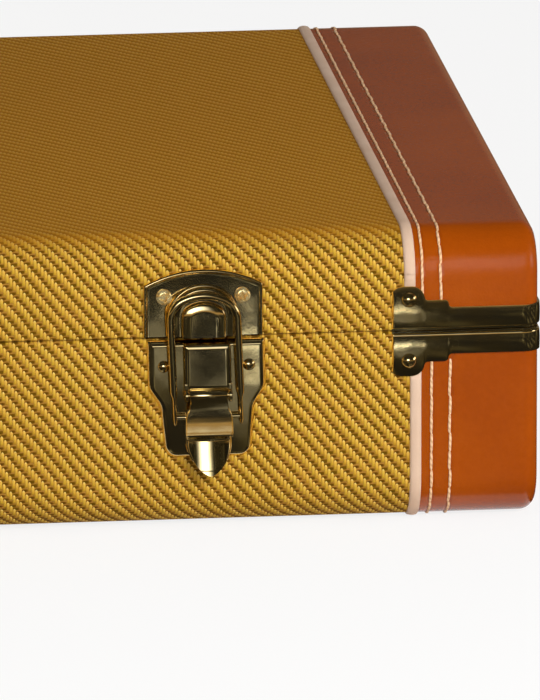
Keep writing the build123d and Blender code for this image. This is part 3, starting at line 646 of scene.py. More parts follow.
def rubbed_gold_finish():
    """Handled and turned heads: the plate has lost its mirror, so it spreads what it reflects."""
    worn = Finish("rubbed_gold", Metallic=0.75)
    patches = worn.noise(worn.place(), 520.0, 3.0, 0.65)
    worn.feed("Base Color", worn.mix(patches.between(0.38, 0.62), tint(255, 236, 176), tint(236, 190, 108)))
    worn.feed("Roughness", 0.14 + patches * 0.16)
    worn.feed("Normal", worn.raise_by(patches, 0.12 * mm))
    return worn.material


GOLD = gold_finish()
RUBBED_GOLD = rubbed_gold_finish()
print("gold:", GOLD.name, RUBBED_GOLD.name)

# %% [markdown]
# ## Inside finishes
#
# The inside is lined with short plush over foam, on a plywood box. Plush has no weave to see: its pile lies
# this way and that, so light catches it in soft lighter and darker patches, which are painted into its
# colour as painted sheen, and the shader adds a sheen at the edges. Plywood shows
# its grain and, at a cut, its layers. The turned-in cover is a plain brown tape.

# %% Plush, plywood and binding


def plush_finish():
    """Orange pile: a broad noise mixes two tints as painted sheen of pile that lies different ways, a fine one
    darkens and raises the tufts.
    """
    pile = Finish("orange_plush", Roughness=0.9, Sheen_Weight=0.6, Sheen_Roughness=0.45)
    place = pile.place()
    pile_painted_sheen = pile.noise(place, 22.0, 4.0, 0.6)
    tufts = pile.noise(place, 900.0, 3.0, 0.7)
    # Painted sheen: broad patches of a paler orange, for light caught by pile that lies different ways.
    colour = pile.mix(pile_painted_sheen.between(0.35, 0.68), tint(170, 74, 18), tint(214, 108, 34))
    colour = pile.mix(tufts.between(0.3, 0.75, 0.0, 0.4), colour, tint(110, 44, 10))
    pile.feed("Base Color", colour)
    pile.feed("Normal", pile.raise_by(tufts + pile_painted_sheen * 0.4, 0.6 * mm))
    return pile.material


def plywood_finish():
    """Birch: noise stretched along X for the grain, a sine of the height for the layers."""
    wood = Finish("birch_plywood", Roughness=0.6)
    x, y, z = wood.axes(wood.place())
    stretched = wood.vector(x * 6.0, y * 60.0, z * 60.0)
    grain = wood.noise(stretched, 4.0, 5.0, 0.6)
    layers = ((z * 4200.0).sine() * 0.5 + 0.5) * 0.25
    shade = grain.between(0.3, 0.7) + layers
    wood.feed("Base Color", wood.mix(shade, tint(214, 178, 128), tint(164, 120, 74)))
    wood.feed("Normal", wood.raise_by(grain, 0.2 * mm))
    return wood.material


def binding_finish():
    """Brown tape: a sine along X times a sine along Y for its weave."""
    tape = Finish("brown_binding", Roughness=0.8)
    x, y, z = tape.axes(tape.place())
    weave = ((x * 5200.0).sine() * (y * 5200.0).sine()) * 0.5 + 0.5
    # Painted shade and highlight: the weave's dips are darker and its crests paler.
    tape.feed("Base Color", tape.mix(weave, tint(92, 62, 22), tint(140, 100, 40)))
    tape.feed("Normal", tape.raise_by(weave, 0.2 * mm))
    return tape.material


PLUSH = plush_finish()
PLYWOOD = plywood_finish()
BINDING = binding_finish()
print("inside:", PLUSH.name, PLYWOOD.name, BINDING.name)

# %% Finishes for the nodes that keep their own shape
FINISH_OF_SLOT = {
    "tweed": TWEED,
    "leather": HANDLE_LEATHER,
    "piping": PIPING,
    "gold": GOLD,
    "plywood": PLYWOOD,
    "plush": PLUSH,
    "binding": BINDING,
}
for subpart in frame["record"]["subparts"]:
    node = nodes[subpart["node"]]
    node.data.materials.clear()
    node.data.materials.append(FINISH_OF_SLOT[subpart["material_slot"]])

# %% [markdown]
# ## The woven cover
#
# On each half the cloth is one strip, glued from rim to rim over the front, the panel and the back, and
# turned in at both rims. As a mesh it is a band: the section line carried along the case. Its pattern
# coordinates are the distances in metres along the case and along the section, so the threads keep their
# true size round the edges.

# %% Tweed bands of lid and base
TURN_IN = 1.3 * mm


def section_of_band(half):
    """The band's closed section, as distances along and out of the skin: a turned-in rim at each end, the
    outer side between them, and an inner side that runs back at the depth of the turn."""
    turn = np.linspace(math.pi / 2, 0, 6)
    rim_along = TURN_IN * (1 - np.sin(turn)) - 0.22 * mm
    rim_out = -TURN_IN * (1 - np.cos(turn))
    length = half["length"]
    middle = line_samples(half, TURN_IN, length - TURN_IN, 12 * mm)[1:-1]
    along = np.concatenate([rim_along, middle, (length - rim_along)[::-1]])
    out = np.concatenate([rim_out, np.zeros(len(middle)), rim_out[::-1]])
    inner = np.clip(along, TURN_IN, length - TURN_IN)
    return along, out, inner


def tweed_band(half):
    """An outer grid and a lining grid, with strips that close the ends and the rims."""
    along, out, inner = section_of_band(half)
    x = np.linspace(-half["piping"], half["piping"], 60)
    rows = []
    for distance, depth in ((along, out), (inner, np.full(len(along), -TURN_IN))):
        y, z = on_skin(half, distance, depth)
        rows.append(np.stack(np.broadcast_arrays(x[:, None], y[None], z[None]), -1))
    outer, lining = rows
    pattern = np.stack(np.broadcast_arrays(x[:, None], half["up"] * along[None]), -1)
    ends = [np.stack([outer[i], lining[i]]) for i in (0, -1)]
    rims = [np.stack([outer[:, i], lining[:, i]]) for i in (0, -1)]
    return joined([patch(outer, pattern), patch(lining)] + [patch(strip) for strip in ends + rims])


for name, half in HALVES.items():
    hidden = [f"{name}_tweed_cover"] + (["base_bottom_cover"] if name == "base" else [])
    make_piece(f"{name}_tweed", tweed_band(half), TWEED, name, hidden)

# %% [markdown]
# ## Leather ends
#
# Each end is a cap of leather. Its section is that of the case, grown outwards from an inner core: straight
# out on a wall, and in a fan round a long edge. Towards the end of the case the growth shrinks along a
# quarter circle of the smaller end radius, which rolls the skin over into the end face. A flat grid closes
# that face.

# %% Leather caps at both ends


def leather_end(half):
    """The cap at the right end: a point is its place on the core plus the growth at that x along a normal."""
    wall = half["height"] - EDGE
    climb = np.linspace(0, wall, 22)
    fan = np.linspace(0, math.pi / 2, 14)
    cross = np.linspace(FRONT + EDGE, BACK - EDGE, 90)
    front = np.full(len(climb) + len(fan), FRONT + EDGE)
    back = np.full(len(climb) + len(fan), BACK - EDGE)
    core_y = np.concatenate([front, cross, back])
    flat = np.full(len(cross) + 2 * len(fan), wall)
    core_h = np.concatenate([climb, flat, climb[::-1]])
    level = np.full(len(cross), math.pi / 2)
    turn = np.concatenate([0 * climb, fan, level, fan + math.pi / 2, 0 * climb + math.pi])
    seam = half["piping"]
    run = np.linspace(seam, HALF_LENGTH - END_EDGE, 14)
    roll = np.linspace(0, math.pi / 2, 12)[1:]
    x = np.concatenate([run, HALF_LENGTH - END_EDGE + END_EDGE * np.sin(roll)])
    grow = EDGE - np.concatenate([np.zeros(len(run)), END_EDGE * (1 - np.cos(roll))])
    y = core_y[None] - grow[:, None] * np.cos(turn)[None]
    h = core_h[None] + grow[:, None] * np.sin(turn)[None]
    z = half["rim"] + half["up"] * h
    skin = np.stack(np.broadcast_arrays(x[:, None], y, z), -1)
    walked = np.concatenate([run, HALF_LENGTH - END_EDGE + END_EDGE * roll]) - seam - half["first_row"]
    steps = np.hypot(np.diff(core_y - EDGE * np.cos(turn)), np.diff(core_h + EDGE * np.sin(turn)))
    along = np.concatenate([[0], np.cumsum(steps)])
    pattern = np.stack(np.broadcast_arrays(walked[:, None], along[None]), -1)
    shrink = np.linspace(1, 0, 5)
    centre_y, centre_h = (FRONT + BACK) / 2, wall / 2
    rim_y, rim_h = y[-1], h[-1]
    end_y = centre_y + (rim_y - centre_y)[None] * shrink[:, None]
    end_h = centre_h + (rim_h - centre_h)[None] * shrink[:, None]
    end_z = half["rim"] + half["up"] * end_h
    end = np.stack([np.full(end_y.shape, HALF_LENGTH), end_y, end_z], -1)
    end_pattern = np.stack([np.full(end_y.shape, 60 * mm), end_y], -1)
    foot = np.stack([end[:, 0], end[:, -1]])
    return joined([patch(skin, pattern), patch(end, end_pattern), patch(foot)])


def thicken(piece, thickness):
    """Gives a skin its thickness inwards."""
    solid = piece.modifiers.new("thickness", "SOLIDIFY")
    solid.thickness = thickness
    solid.offset = -1
    solid.use_even_offset = True
    return piece


for name, half in HALVES.items():
    right = leather_end(half)
    both = joined([right, mirrored(right)])
    piece = make_piece(f"{name}_leather", both, END_LEATHER, name, [f"{name}_leather_ends"])
    thicken(piece, TURN_IN)

# %% [markdown]
# ## Piping and stitches
#
# The piping covers the seam between cloth and leather: a half-round cord that follows the section line and
# is pressed flat where it ends, under the metal strip. Beside it run two rows of stitches. Each stitch is a
# short capsule that dives into the leather at both ends, laid on the skin by the same function as the
# cloth, so it bends where the skin bends.

# %% Piping cords
piping_half_width = 2.25 * mm
piping_proud = 1.3 * mm


def carried(half, along, profile_x, profile_out):
    """A closed profile (x and height out of the skin) carried along the section line, with its end faces."""
    y, z = on_skin(half, along[:, None], np.broadcast_to(profile_out, (len(along), len(profile_x))))
    points = np.stack(np.broadcast_arrays(profile_x[None], y, z), -1)
    pattern = np.stack(np.broadcast_arrays(profile_x[None], along[:, None]), -1)
    shape = patch(points, pattern)
    count = len(profile_x)
    last = (len(along) - 1) * count
    shape["rings"] = [np.arange(count - 1), np.arange(last, last + count - 1)[::-1]]
    return shape


def piping_cord(half, side):
    """A half circle, flattened a little, on three corners that are sunk under the skin."""
    angle = np.linspace(0, math.pi, 12)
    x = side * half["piping"] + piping_half_width * np.cos(angle)
    out = piping_proud * np.sin(angle) ** 0.8
    x = np.concatenate([x, [x[-1], x[0], x[0]]])
    out = np.concatenate([out, [-TURN_IN, -TURN_IN, 0]])
    ends = np.linspace(13.0, 21.0, 9) * mm
    middle = line_samples(half, 24 * mm, half["length"] - 24 * mm, 8 * mm)
    along = np.concatenate([ends, middle, (half["length"] - ends)[::-1]])
    from_end = np.minimum(along, half["length"] - along)
    rise = 0.3 + 0.7 * np.clip((from_end - 17.0 * mm) / (2.6 * mm), 0, 1)
    out = np.where(out > 0, out * rise[:, None], out)
    return carried(half, along, x, out)


for name, half in HALVES.items():
    cords = joined([piping_cord(half, side) for side in (-1, 1)])
    make_piece(f"{name}_piping_cord", cords, PIPING, name, [f"{name}_piping"], crease=60)

# %% Stitch rows
THREAD_RADIUS = 0.56 * mm


def stitch_row(half, x_middle, sideways, start, end):
    """Capsules along one row: the thread's middle rises in an arch from its hole and dives into the next."""
    count = int((end - start) / STITCH_PITCH)
    first = start + np.arange(count) * STITCH_PITCH
    t = np.linspace(0, 1, 9)
    around = np.linspace(0, 2 * math.pi, 9)
    thin = 0.72 + 0.28 * np.sin(math.pi * t) ** 0.5
    lift = -0.16 * mm + 0.46 * mm * np.sin(math.pi * t) ** 0.5
    along = first[:, None, None] + t[None, :, None] * STITCH_PITCH
    out = lift[None, :, None] + THREAD_RADIUS * 0.8 * thin[None, :, None] * np.sin(around)
    step = (-1.0) ** np.arange(count)[:, None, None]
    kink = sideways * (np.sin(math.pi * 2 * t)[None, :, None] * 0.5 + step)
    x = x_middle + kink + THREAD_RADIUS * thin[None, :, None] * np.cos(around)
    along, out, x = np.broadcast_arrays(along, out, x)
    y, z = on_skin(half, along, out)
    points = np.stack([x, y, z], -1)
    pattern = np.stack(np.broadcast_arrays(along, around[None, None] / (2 * math.pi)), -1)
    return joined([patch(points[i], pattern[i]) for i in range(count)])


for name, half in HALVES.items():
    rows = []
    for side in (-1, 1):
        for distance, sideways in ((0, 0.05 * mm), (ROW_GAP, 0.13 * mm)):
            x_row = side * (half["piping"] + half["first_row"] + distance)
            start = 11.5 * mm
            rows.append(stitch_row(half, x_row, sideways, start, half["length"] - start))
    make_piece(f"{name}_stitches", joined(rows), THREAD, name, crease=80)

# %% [markdown]
# ## Strips round the ends
#
# A pressed strip guards the seam of each half: it starts in a tall rounded tab, steps down twice and runs
# round the end to the other side. Its outline is drawn flat and then wrapped, because the wrap is only a
# bend in plan. Its edge at the seam is rounded and its free edge is cut, and the face between them is a
# little crowned.

# %% Pressed strips
STRIP_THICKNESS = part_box("lid_end_strips")[1].x - HALF_LENGTH
STRIP_START = HALF_LENGTH - 59.0 * mm


def wrapped(along, out):
    """Plan of the right end: the distance along the strip goes round both of its upright edges."""
    front_run = HALF_LENGTH - END_EDGE - STRIP_START
    quarter = math.pi / 2 * END_EDGE
    flat = BACK - FRONT - 2 * END_EDGE
    first = np.clip((along - front_run) / END_EDGE, 0, math.pi / 2)
    second = np.clip((along - front_run - quarter - flat) / END_EDGE, 0, math.pi / 2)
    across = np.clip(along - front_run - quarter, 0, flat)
    back_run = np.maximum(along - front_run - 2 * quarter - flat, 0)
    turn = first + second
    x = STRIP_START + np.minimum(along, front_run) - back_run
    x = x + END_EDGE * (np.sin(first) - 1 + np.cos(second))
    y = FRONT + END_EDGE * (1 - np.cos(first) + np.sin(second)) + across
    return x + out * np.sin(turn), y - out * np.cos(turn)


def strip_shape(half):
    """The strip as a ribbon. Along it the free edge follows the tab, the two steps and the long low run.
    Across it go the rounded edge at the seam, the slightly crowned face and the cut free edge, each a fixed
    distance from its side, so that the edges stay even where the height steps."""
    total = 2 * (HALF_LENGTH - END_EDGE - STRIP_START) + math.pi * END_EDGE + BACK - FRONT - 2 * END_EDGE
    tab, step, low = 18.0, 12.3, 9.3
    corners = [(0, 2.2), (0, tab), (13.6, tab), (13.6, step), (23.1, step), (23.1, low)]
    corners = [(a * mm, b * mm) for a, b in corners] + [(total / 2, low * mm)]
    top, _ = rounded_line(corners, [4.8 * mm, 5.2 * mm, 1.4 * mm, 1.6 * mm, 1.5 * mm], 1.2 * mm, 0.3 * mm)
    top = np.concatenate([top, (top * [-1, 1] + [total, 0])[::-1][1:]])
    lip, soft = (0.7, 1.2) if half["up"] < 0 else (0.75, 0.7)
    near = np.concatenate([[-0.12, -0.12, lip - 0.05], lip + np.array([0, 0.1, 0.3, 0.6, 1.0]) * soft]) * mm
    near_out = np.array([-0.9, 0.1, 0.12, 0.3, 0.6, 0.8, 0.9, 0.92])
    far = np.array([0.3, 0.15, 0.06, 0.0, 0.0]) * mm
    far_out = np.array([0.92, 0.9, 0.75, 0.45, -0.9])
    share = np.linspace(0, 1, 7)[1:-1]
    middle = near[-1] + share[:, None] * (top[None, :, 1] - far[0] - near[-1])
    crown = 0.92 + 0.13 * (1 - (2 * share - 1) ** 2)
    columns = (len(near), len(top))
    height = np.concatenate([np.broadcast_to(near[:, None], columns), middle, top[None, :, 1] - far[:, None]])
    rise = np.concatenate([near_out, crown, far_out]) * STRIP_THICKNESS
    along = np.broadcast_to(top[None, :, 0], height.shape)
    near_end = np.minimum(along, total - along)
    out = np.minimum(rise[:, None], STRIP_THICKNESS * (near_end / (0.7 * mm) - 0.9))
    x, y = wrapped(along, out)
    points = np.stack([x, y, half["rim"] + half["up"] * height], -1)
    return patch(np.concatenate([points, points[:1]]))


for name, half in HALVES.items():
    right = strip_shape(half)
    both = joined([right, mirrored(right)])
    make_piece(f"{name}_strips", both, GOLD, name, [f"{name}_end_strips"], crease=30)

# %% [markdown]
# ## Turned heads
#
# Rivets and screws are bodies of revolution: a profile of radius and height, spun about its own axis. The
# rivets are plain domes. A screw's head is a low pan with a cross recess, which is made by lowering the
# points whose place falls in one of two narrow slots.

# %% Where the latches are, and how far each is from square
LATCH_X = [(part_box(f"latch_{n}_lever")[0].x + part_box(f"latch_{n}_lever")[1].x) / 2 for n in range(1, 5)]
ASKEW = {1: 0.3, 2: -0.5, 3: 0.4, 4: 1.0}
PLATE_ASKEW = (1.15 * mm, 0.02)
print("latches at", [round(x, 4) for x in LATCH_X])


def set_askew(shape, number, at_seam, lean):
    """Plates are fitted by hand, so none is quite square: along X a point moves by its latch's share of a
    shift at the seam plus a lean times its distance below the seam."""
    below = BASE_RIM - shape["points"][:, 2]
    shift = ASKEW[number] * (at_seam + lean * below)
    return {**shape, "points": shape["points"] + shift[:, None] * [1, 0, 0]}


# %% Rivets


def turned(profile, centre, outward, sides=28):
    """A profile of (radius, height) spun about an axis along Y that points out of the face."""
    radius, height = np.asarray(profile).T
    angle = np.linspace(0, 2 * math.pi, sides + 1)
    x = centre[0] + radius[:, None] * np.cos(angle)
    z = centre[2] + radius[:, None] * np.sin(angle)
    y = np.broadcast_to((centre[1] + outward * height)[:, None], x.shape)
    return patch(np.stack([x, y, z], -1))


def dome(radius, height):
    """A rivet's profile: a ball's cap with a small foot below the face."""
    ball = (radius**2 + height**2) / (2 * height)
    sweep = np.linspace(0, math.asin(min(1, radius / ball)), 9)
    cap = np.stack([ball * np.sin(sweep), height - ball * (1 - np.cos(sweep))], -1)
    return np.concatenate([cap, [(radius * 0.98, -0.3 * mm), (0, -0.3 * mm)]])


def solids_of(node):
    """The separate solids of a node, each as its lowest and highest corner.

    Points that are joined by edges belong together."""
    mesh = nodes[node].data
    work = bmesh.new()
    work.from_mesh(mesh)
    bmesh.ops.remove_doubles(work, verts=work.verts, dist=1e-6)
    work.verts.ensure_lookup_table()
    seen, groups = set(), []
    for vertex in work.verts:
        if vertex.index in seen:
            continue
        stack, group = [vertex], []
        seen.add(vertex.index)
        while stack:
            here = stack.pop()
            group.append(here.co[:])
            for edge in here.link_edges:
                other = edge.other_vert(here)
                if other.index not in seen:
                    seen.add(other.index)
                    stack.append(other)
        group = np.array(group)
        groups.append((group.min(0), group.max(0)))
    work.free()
    return groups


LARGE_RIVET = 2.8 * mm
LATCH_REACH = 25 * mm


def rivet_heads(node):
    """A dome over each rivet of the node, as wide as its solid.

    The large ones stand a little further out along the case, and the small ones near a latch follow its
    plate."""
    heads = []
    for low, high in solids_of(node):
        radius = (high[0] - low[0]) / 2
        outward = 1 if (low[1] + high[1]) / 2 > 0 else -1
        large = radius > LARGE_RIVET
        height = (1.9 if large else 1.6) * mm
        tip = high[1] if outward > 0 else low[1]
        across, up = (low[0] + high[0]) / 2, (low[2] + high[2]) / 2
        if large:
            across += math.copysign(1.2 * mm, across)
            up += (0.9 if up > (LID_RIM + BASE_RIM) / 2 else 0.0) * mm
        elif outward < 0:
            nearest = int(np.argmin(np.abs(np.array(LATCH_X) - across)))
            if abs(LATCH_X[nearest] - across) < LATCH_REACH:
                across += 1.1 * mm * ASKEW[nearest + 1]
                up -= 1.1 * mm
                tip -= 0.6 * mm
        centre = (across, tip - outward * height, up)
        heads.append(turned(dome(radius, height), centre, outward))
    return joined(heads)


for name in ("lid", "base"):
    heads = rivet_heads(f"{name}_rivets")
    make_piece(f"{name}_rivet_heads", heads, GOLD, name, [f"{name}_rivets"], crease=50)

# %% Cross-head screws of the catch plates


def screw_head(low, high):
    """A pan head: flat in the middle, rounded at the rim, its cross recess sunk where |x| or |z| is small."""
    radius = (high[0] - low[0]) / 2
    height = 1.3 * mm
    centre = np.array([(low[0] + high[0]) / 2, low[1] + height, (low[2] + high[2]) / 2])
    ring = np.concatenate([np.linspace(0, 0.62, 12), np.linspace(0.66, 1.0, 8)]) * radius
    angle = np.linspace(0, 2 * math.pi, 61)
    x = ring[:, None] * np.cos(angle + 0.5)
    z = ring[:, None] * np.sin(angle + 0.5)
    cosine, sine = math.cos(0.35), math.sin(0.35)
    turned_x, turned_z = x * cosine + z * sine, z * cosine - x * sine
    arm = np.minimum(np.abs(turned_x), np.abs(turned_z))
    reach = np.maximum(np.abs(turned_x), np.abs(turned_z))
    slot, length, depth = 0.6 * mm, 1.75 * mm, 0.95 * mm
    deep = np.clip((slot - arm) / (0.15 * mm), 0, 1) * np.clip((length - reach) / (0.3 * mm), 0, 1)
    share = np.clip(ring / radius, 0, 1)
    pan = height * (1 - 0.3 * share**2) * np.sqrt(np.clip(1 - ((share - 0.62) / 0.4).clip(0, 1) ** 2, 0, 1))
    out = pan[:, None] - depth * deep
    foot = np.stack([x[-1], np.full(len(angle), -0.2 * mm), z[-1]], -1)
    middle = np.stack([0 * x[-1], np.full(len(angle), -0.2 * mm), 0 * z[-1]], -1)
    points = np.stack([x, out, z], -1)
    points = np.concatenate([points, foot[None], middle[None]])
    return patch(centre + points * [1, -1, 1])


screws = joined([screw_head(low, high) for low, high in solids_of("latch_catch_screws")])
make_piece("catch_screw_heads", screws, RUBBED_GOLD, "lid", ["latch_catch_screws"], crease=40)

# %% [markdown]
# ## Latches
#
# Each draw latch has a pressed plate on either side of the seam. The lid's plate carries a raised arch and,
# in its middle, the keeper that the wire loop hooks over. The base's plate carries a bridge, and under it a
# lever that turns on a pin and pulls the loop down. Pressed sheet never has a sharp edge, so each form
# rises over a rounded profile, and each outline is made of straight lines and arcs.

# %% Arch outline
SEAM_CLEARANCE = 0.35 * mm


def arch_side(half_width, peak, corner, crown, counts):
    """The right side of a basket arch, up to its peak, and the height at which it springs.

    A corner arc and a crown arc of the two given radii meet where they have the same normal, so that there
    is no kink between them."""
    reach, side = crown - corner, half_width - corner
    spring = peak - crown + math.sqrt(reach**2 - side**2)
    meeting = math.pi / 2 - math.asin(side / reach)
    corner_arc = np.linspace(0, meeting, counts[0])
    crown_arc = np.linspace(meeting, math.pi / 2, counts[1])[1:]
    corner_line = np.stack([side + corner * np.cos(corner_arc), spring + corner * np.sin(corner_arc)], -1)
    crown_line = np.stack([crown * np.cos(crown_arc), peak - crown + crown * np.sin(crown_arc)], -1)
    return np.concatenate([corner_line, crown_line]), spring


def arch_outline(half_width, foot, peak, corner, crown):
    """A closed arch: a level foot, straight sides and the basket arch on them."""
    arc, spring = arch_side(half_width, peak, corner, crown, (22, 18))
    sill = np.stack([np.linspace(0, half_width, 12), np.full(12, foot)], -1)
    upright = np.stack([np.full(10, half_width), np.linspace(foot, spring, 12)[1:-1]], -1)
    right = np.concatenate([sill, upright, arc])
    left = (right * [-1, 1])[::-1][1:-1]
    return np.concatenate([right, left])


# %% Catch plates on the lid


def catch_plate(x):
    """The plate, its arch with a double ridge, and the keeper: three pressings, one on the other."""
    half, side_height, crown = 23.6 * mm, 21.3 * mm, 6.0 * mm
    foot = LID_RIM + SEAM_CLEARANCE
    deep = foot - 6 * mm
    ball = (half**2 + crown**2) / (2 * crown)
    sweep = np.linspace(math.asin(half / ball), -math.asin(half / ball), 12)[1:-1]
    peak = LID_RIM + side_height + crown
    arc = [(ball * math.sin(a), peak - ball + ball * math.cos(a)) for a in sweep]
    shoulder = LID_RIM + side_height
    corners = [(-half, deep), (half, deep), (half, shoulder)] + arc + [(-half, shoulder)]
    radii = [0.5 * mm, 0.5 * mm, 1.6 * mm] + [ball * 0.97] * len(arc) + [1.6 * mm]
    insets, outs = steps_of(
        (0, -1.4), (0, 0.9), (0.15, 1.35), (0.5, 1.65), (0.9, 1.65), (1.3, 1.35), (1.6, 1.15), (1.9, 1.1),
        (2.4, 1.1)
    )
    plate = stamping(outline_rings(corners, radii, insets), outs, FRONT, foot)
    insets, outs = steps_of(
        (0, 0.5), (0.2, 1.5), (0.6, 2.05), (1.0, 2.1), (1.35, 1.9), (1.6, 2.2), (1.9, 2.75), (2.4, 3.0),
        (2.9, 2.9), (3.6, 2.4), (4.6, 2.2), (5.0, 2.2)
    )
    outline = arch_outline(14.0 * mm, deep, LID_RIM + 21.6 * mm, 13.0 * mm, 16.0 * mm)
    arch = stamping(inset_rings(outline, insets), outs, FRONT, foot)
    insets, outs = steps_of(
        (0, 1.5), (0.02, 2.4), (0.15, 3.1), (0.45, 3.65), (1.0, 4.0), (2.0, 4.28), (3.2, 4.54), (3.9, 4.6),
        (4.3, 4.6)
    )
    outline = arch_outline(8.9 * mm, deep, LID_RIM + 14.7 * mm, 5.5 * mm, 12.0 * mm)
    keeper = stamping(inset_rings(outline, insets), outs, FRONT, foot)
    return moved(joined([plate, arch, keeper]), (x, 0, 0))


for number, x in enumerate(LATCH_X, start=1):
    make_piece(
        f"catch_plate_{number}", catch_plate(x), GOLD, "lid", [f"latch_{number}_catch_plate"],
        crease=50,
    )

# %% Base plates with the bridge and the lugs


def base_plate(x):
    """The shield-shaped plate with its sloping border, the bridge, and an eye on each side for the pin."""
    right = [(23.4, 0.35, 1.2), (23.4, 20.4, 7.0), (18.8, 27.4, 9.0), (17.0, 48.2, 5.0)]
    around = [(-a, drop, radius) for a, drop, radius in right] + right[::-1]
    corners = [(a * mm, BASE_RIM - drop * mm) for a, drop, _ in around]
    insets, outs = steps_of(
        (0, 0), (0.02, 0.3), (0.25, 0.6), (1.1, 1.6), (1.7, 2.1), (2.1, 2.28), (2.4, 2.3), (2.8, 2.3)
    )
    plate = stamping(outline_rings(corners, [radius * mm for _, _, radius in around], insets), outs, FRONT)
    half = 9.35 * mm
    low, high = BASE_RIM - 20.3 * mm, BASE_RIM - 1.5 * mm
    insets, outs = steps_of(
        (0, 1.0), (0, 3.9), (0.12, 4.45), (0.4, 4.85), (0.9, 5.08), (1.6, 5.26), (2.0, 5.3), (2.4, 5.3)
    )
    corners = rectangle((-half, low), (half, high))
    bridge = stamping(outline_rings(corners, [1.2 * mm] * 4, insets), outs, FRONT)
    eyes = [lug(side) for side in (-1, 1)]
    return moved(joined([plate, bridge] + eyes), (x, 0, 0))


def tube_x(profile, axis_y, axis_z, sides=24):
    """A profile of (x, radius) spun about an axis along X."""
    place, radius = np.asarray(profile).T
    angle = np.linspace(0, 2 * math.pi, sides + 1)
    y = axis_y + radius[:, None] * np.cos(angle)
    z = axis_z + radius[:, None] * np.sin(angle)
    return patch(np.stack(np.broadcast_arrays(place[:, None], y, z), -1))


LEVER_AXIS_Y = FRONT - 4.6 * mm
LEVER_AXIS_Z = BASE_RIM - 22.2 * mm


def lug(side):
    """A rolled eye round the pin, and the arm that holds it under the bridge."""
    inner, outer = 7.95 * mm, 9.35 * mm
    soft = 0.25 * mm
    near = [(inner, 1.25), (inner, 2.3), (inner + soft, 2.65)]
    eye = near + [(outer - soft, 2.65), (outer, 2.3), (outer, 1.25)]
    profile = [(side * a, r * mm) for a, r in eye + eye[:1]]
    ring = tube_x(profile, LEVER_AXIS_Y, LEVER_AXIS_Z)
    arm_low, arm_high = LEVER_AXIS_Z, BASE_RIM - 17.5 * mm
    insets, outs = steps_of((0, 1.0), (0, 4.9), (0.1, 5.15), (0.3, 5.2), (0.4, 5.2))
    corners = rectangle((inner, arm_low), (outer, arm_high))
    arm = stamping(outline_rings(corners, [0.2 * mm] * 4, insets, fine=0.1 * mm), outs, FRONT)
    arm = arm if side > 0 else mirrored(arm)
    return joined([ring, arm])


for number, x in enumerate(LATCH_X, start=1):
    make_piece(
        f"base_plate_{number}", set_askew(base_plate(x), number, *PLATE_ASKEW), GOLD, "base",
        [f"latch_{number}_base_plate"], crease=50
    )

# %% The levers' pins
pin_line = [(-9.6, 0), (-9.6, 0.8), (-9.3, 1.2), (9.3, 1.2), (9.6, 0.8), (9.6, 0)]
pins = []
for number, x in enumerate(LATCH_X, start=1):
    pin = tube_x(placed(pin_line, x), LEVER_AXIS_Y, LEVER_AXIS_Z, 20)
    pins.append(set_askew(pin, number, *PLATE_ASKEW))
make_piece("lever_pins", joined(pins), GOLD, "base", ["latch_pivot_pins"], crease=50)

# %% [markdown]
# ## Lever and wire loop
#
# The lever is one sheet: rolled round its pin at the top, flat at the neck, spread into a bell with
# turned-back flanges, and below a crease a tongue that is hollow on the back like a spoon, for the finger.
# It is a grid: down the lever go the standoff and the half width, and across it the bulge. The loop is a
# round wire whose legs are flattened where they turn into the lever.

# %% Levers
LEVER_SHEET = 1.0 * mm


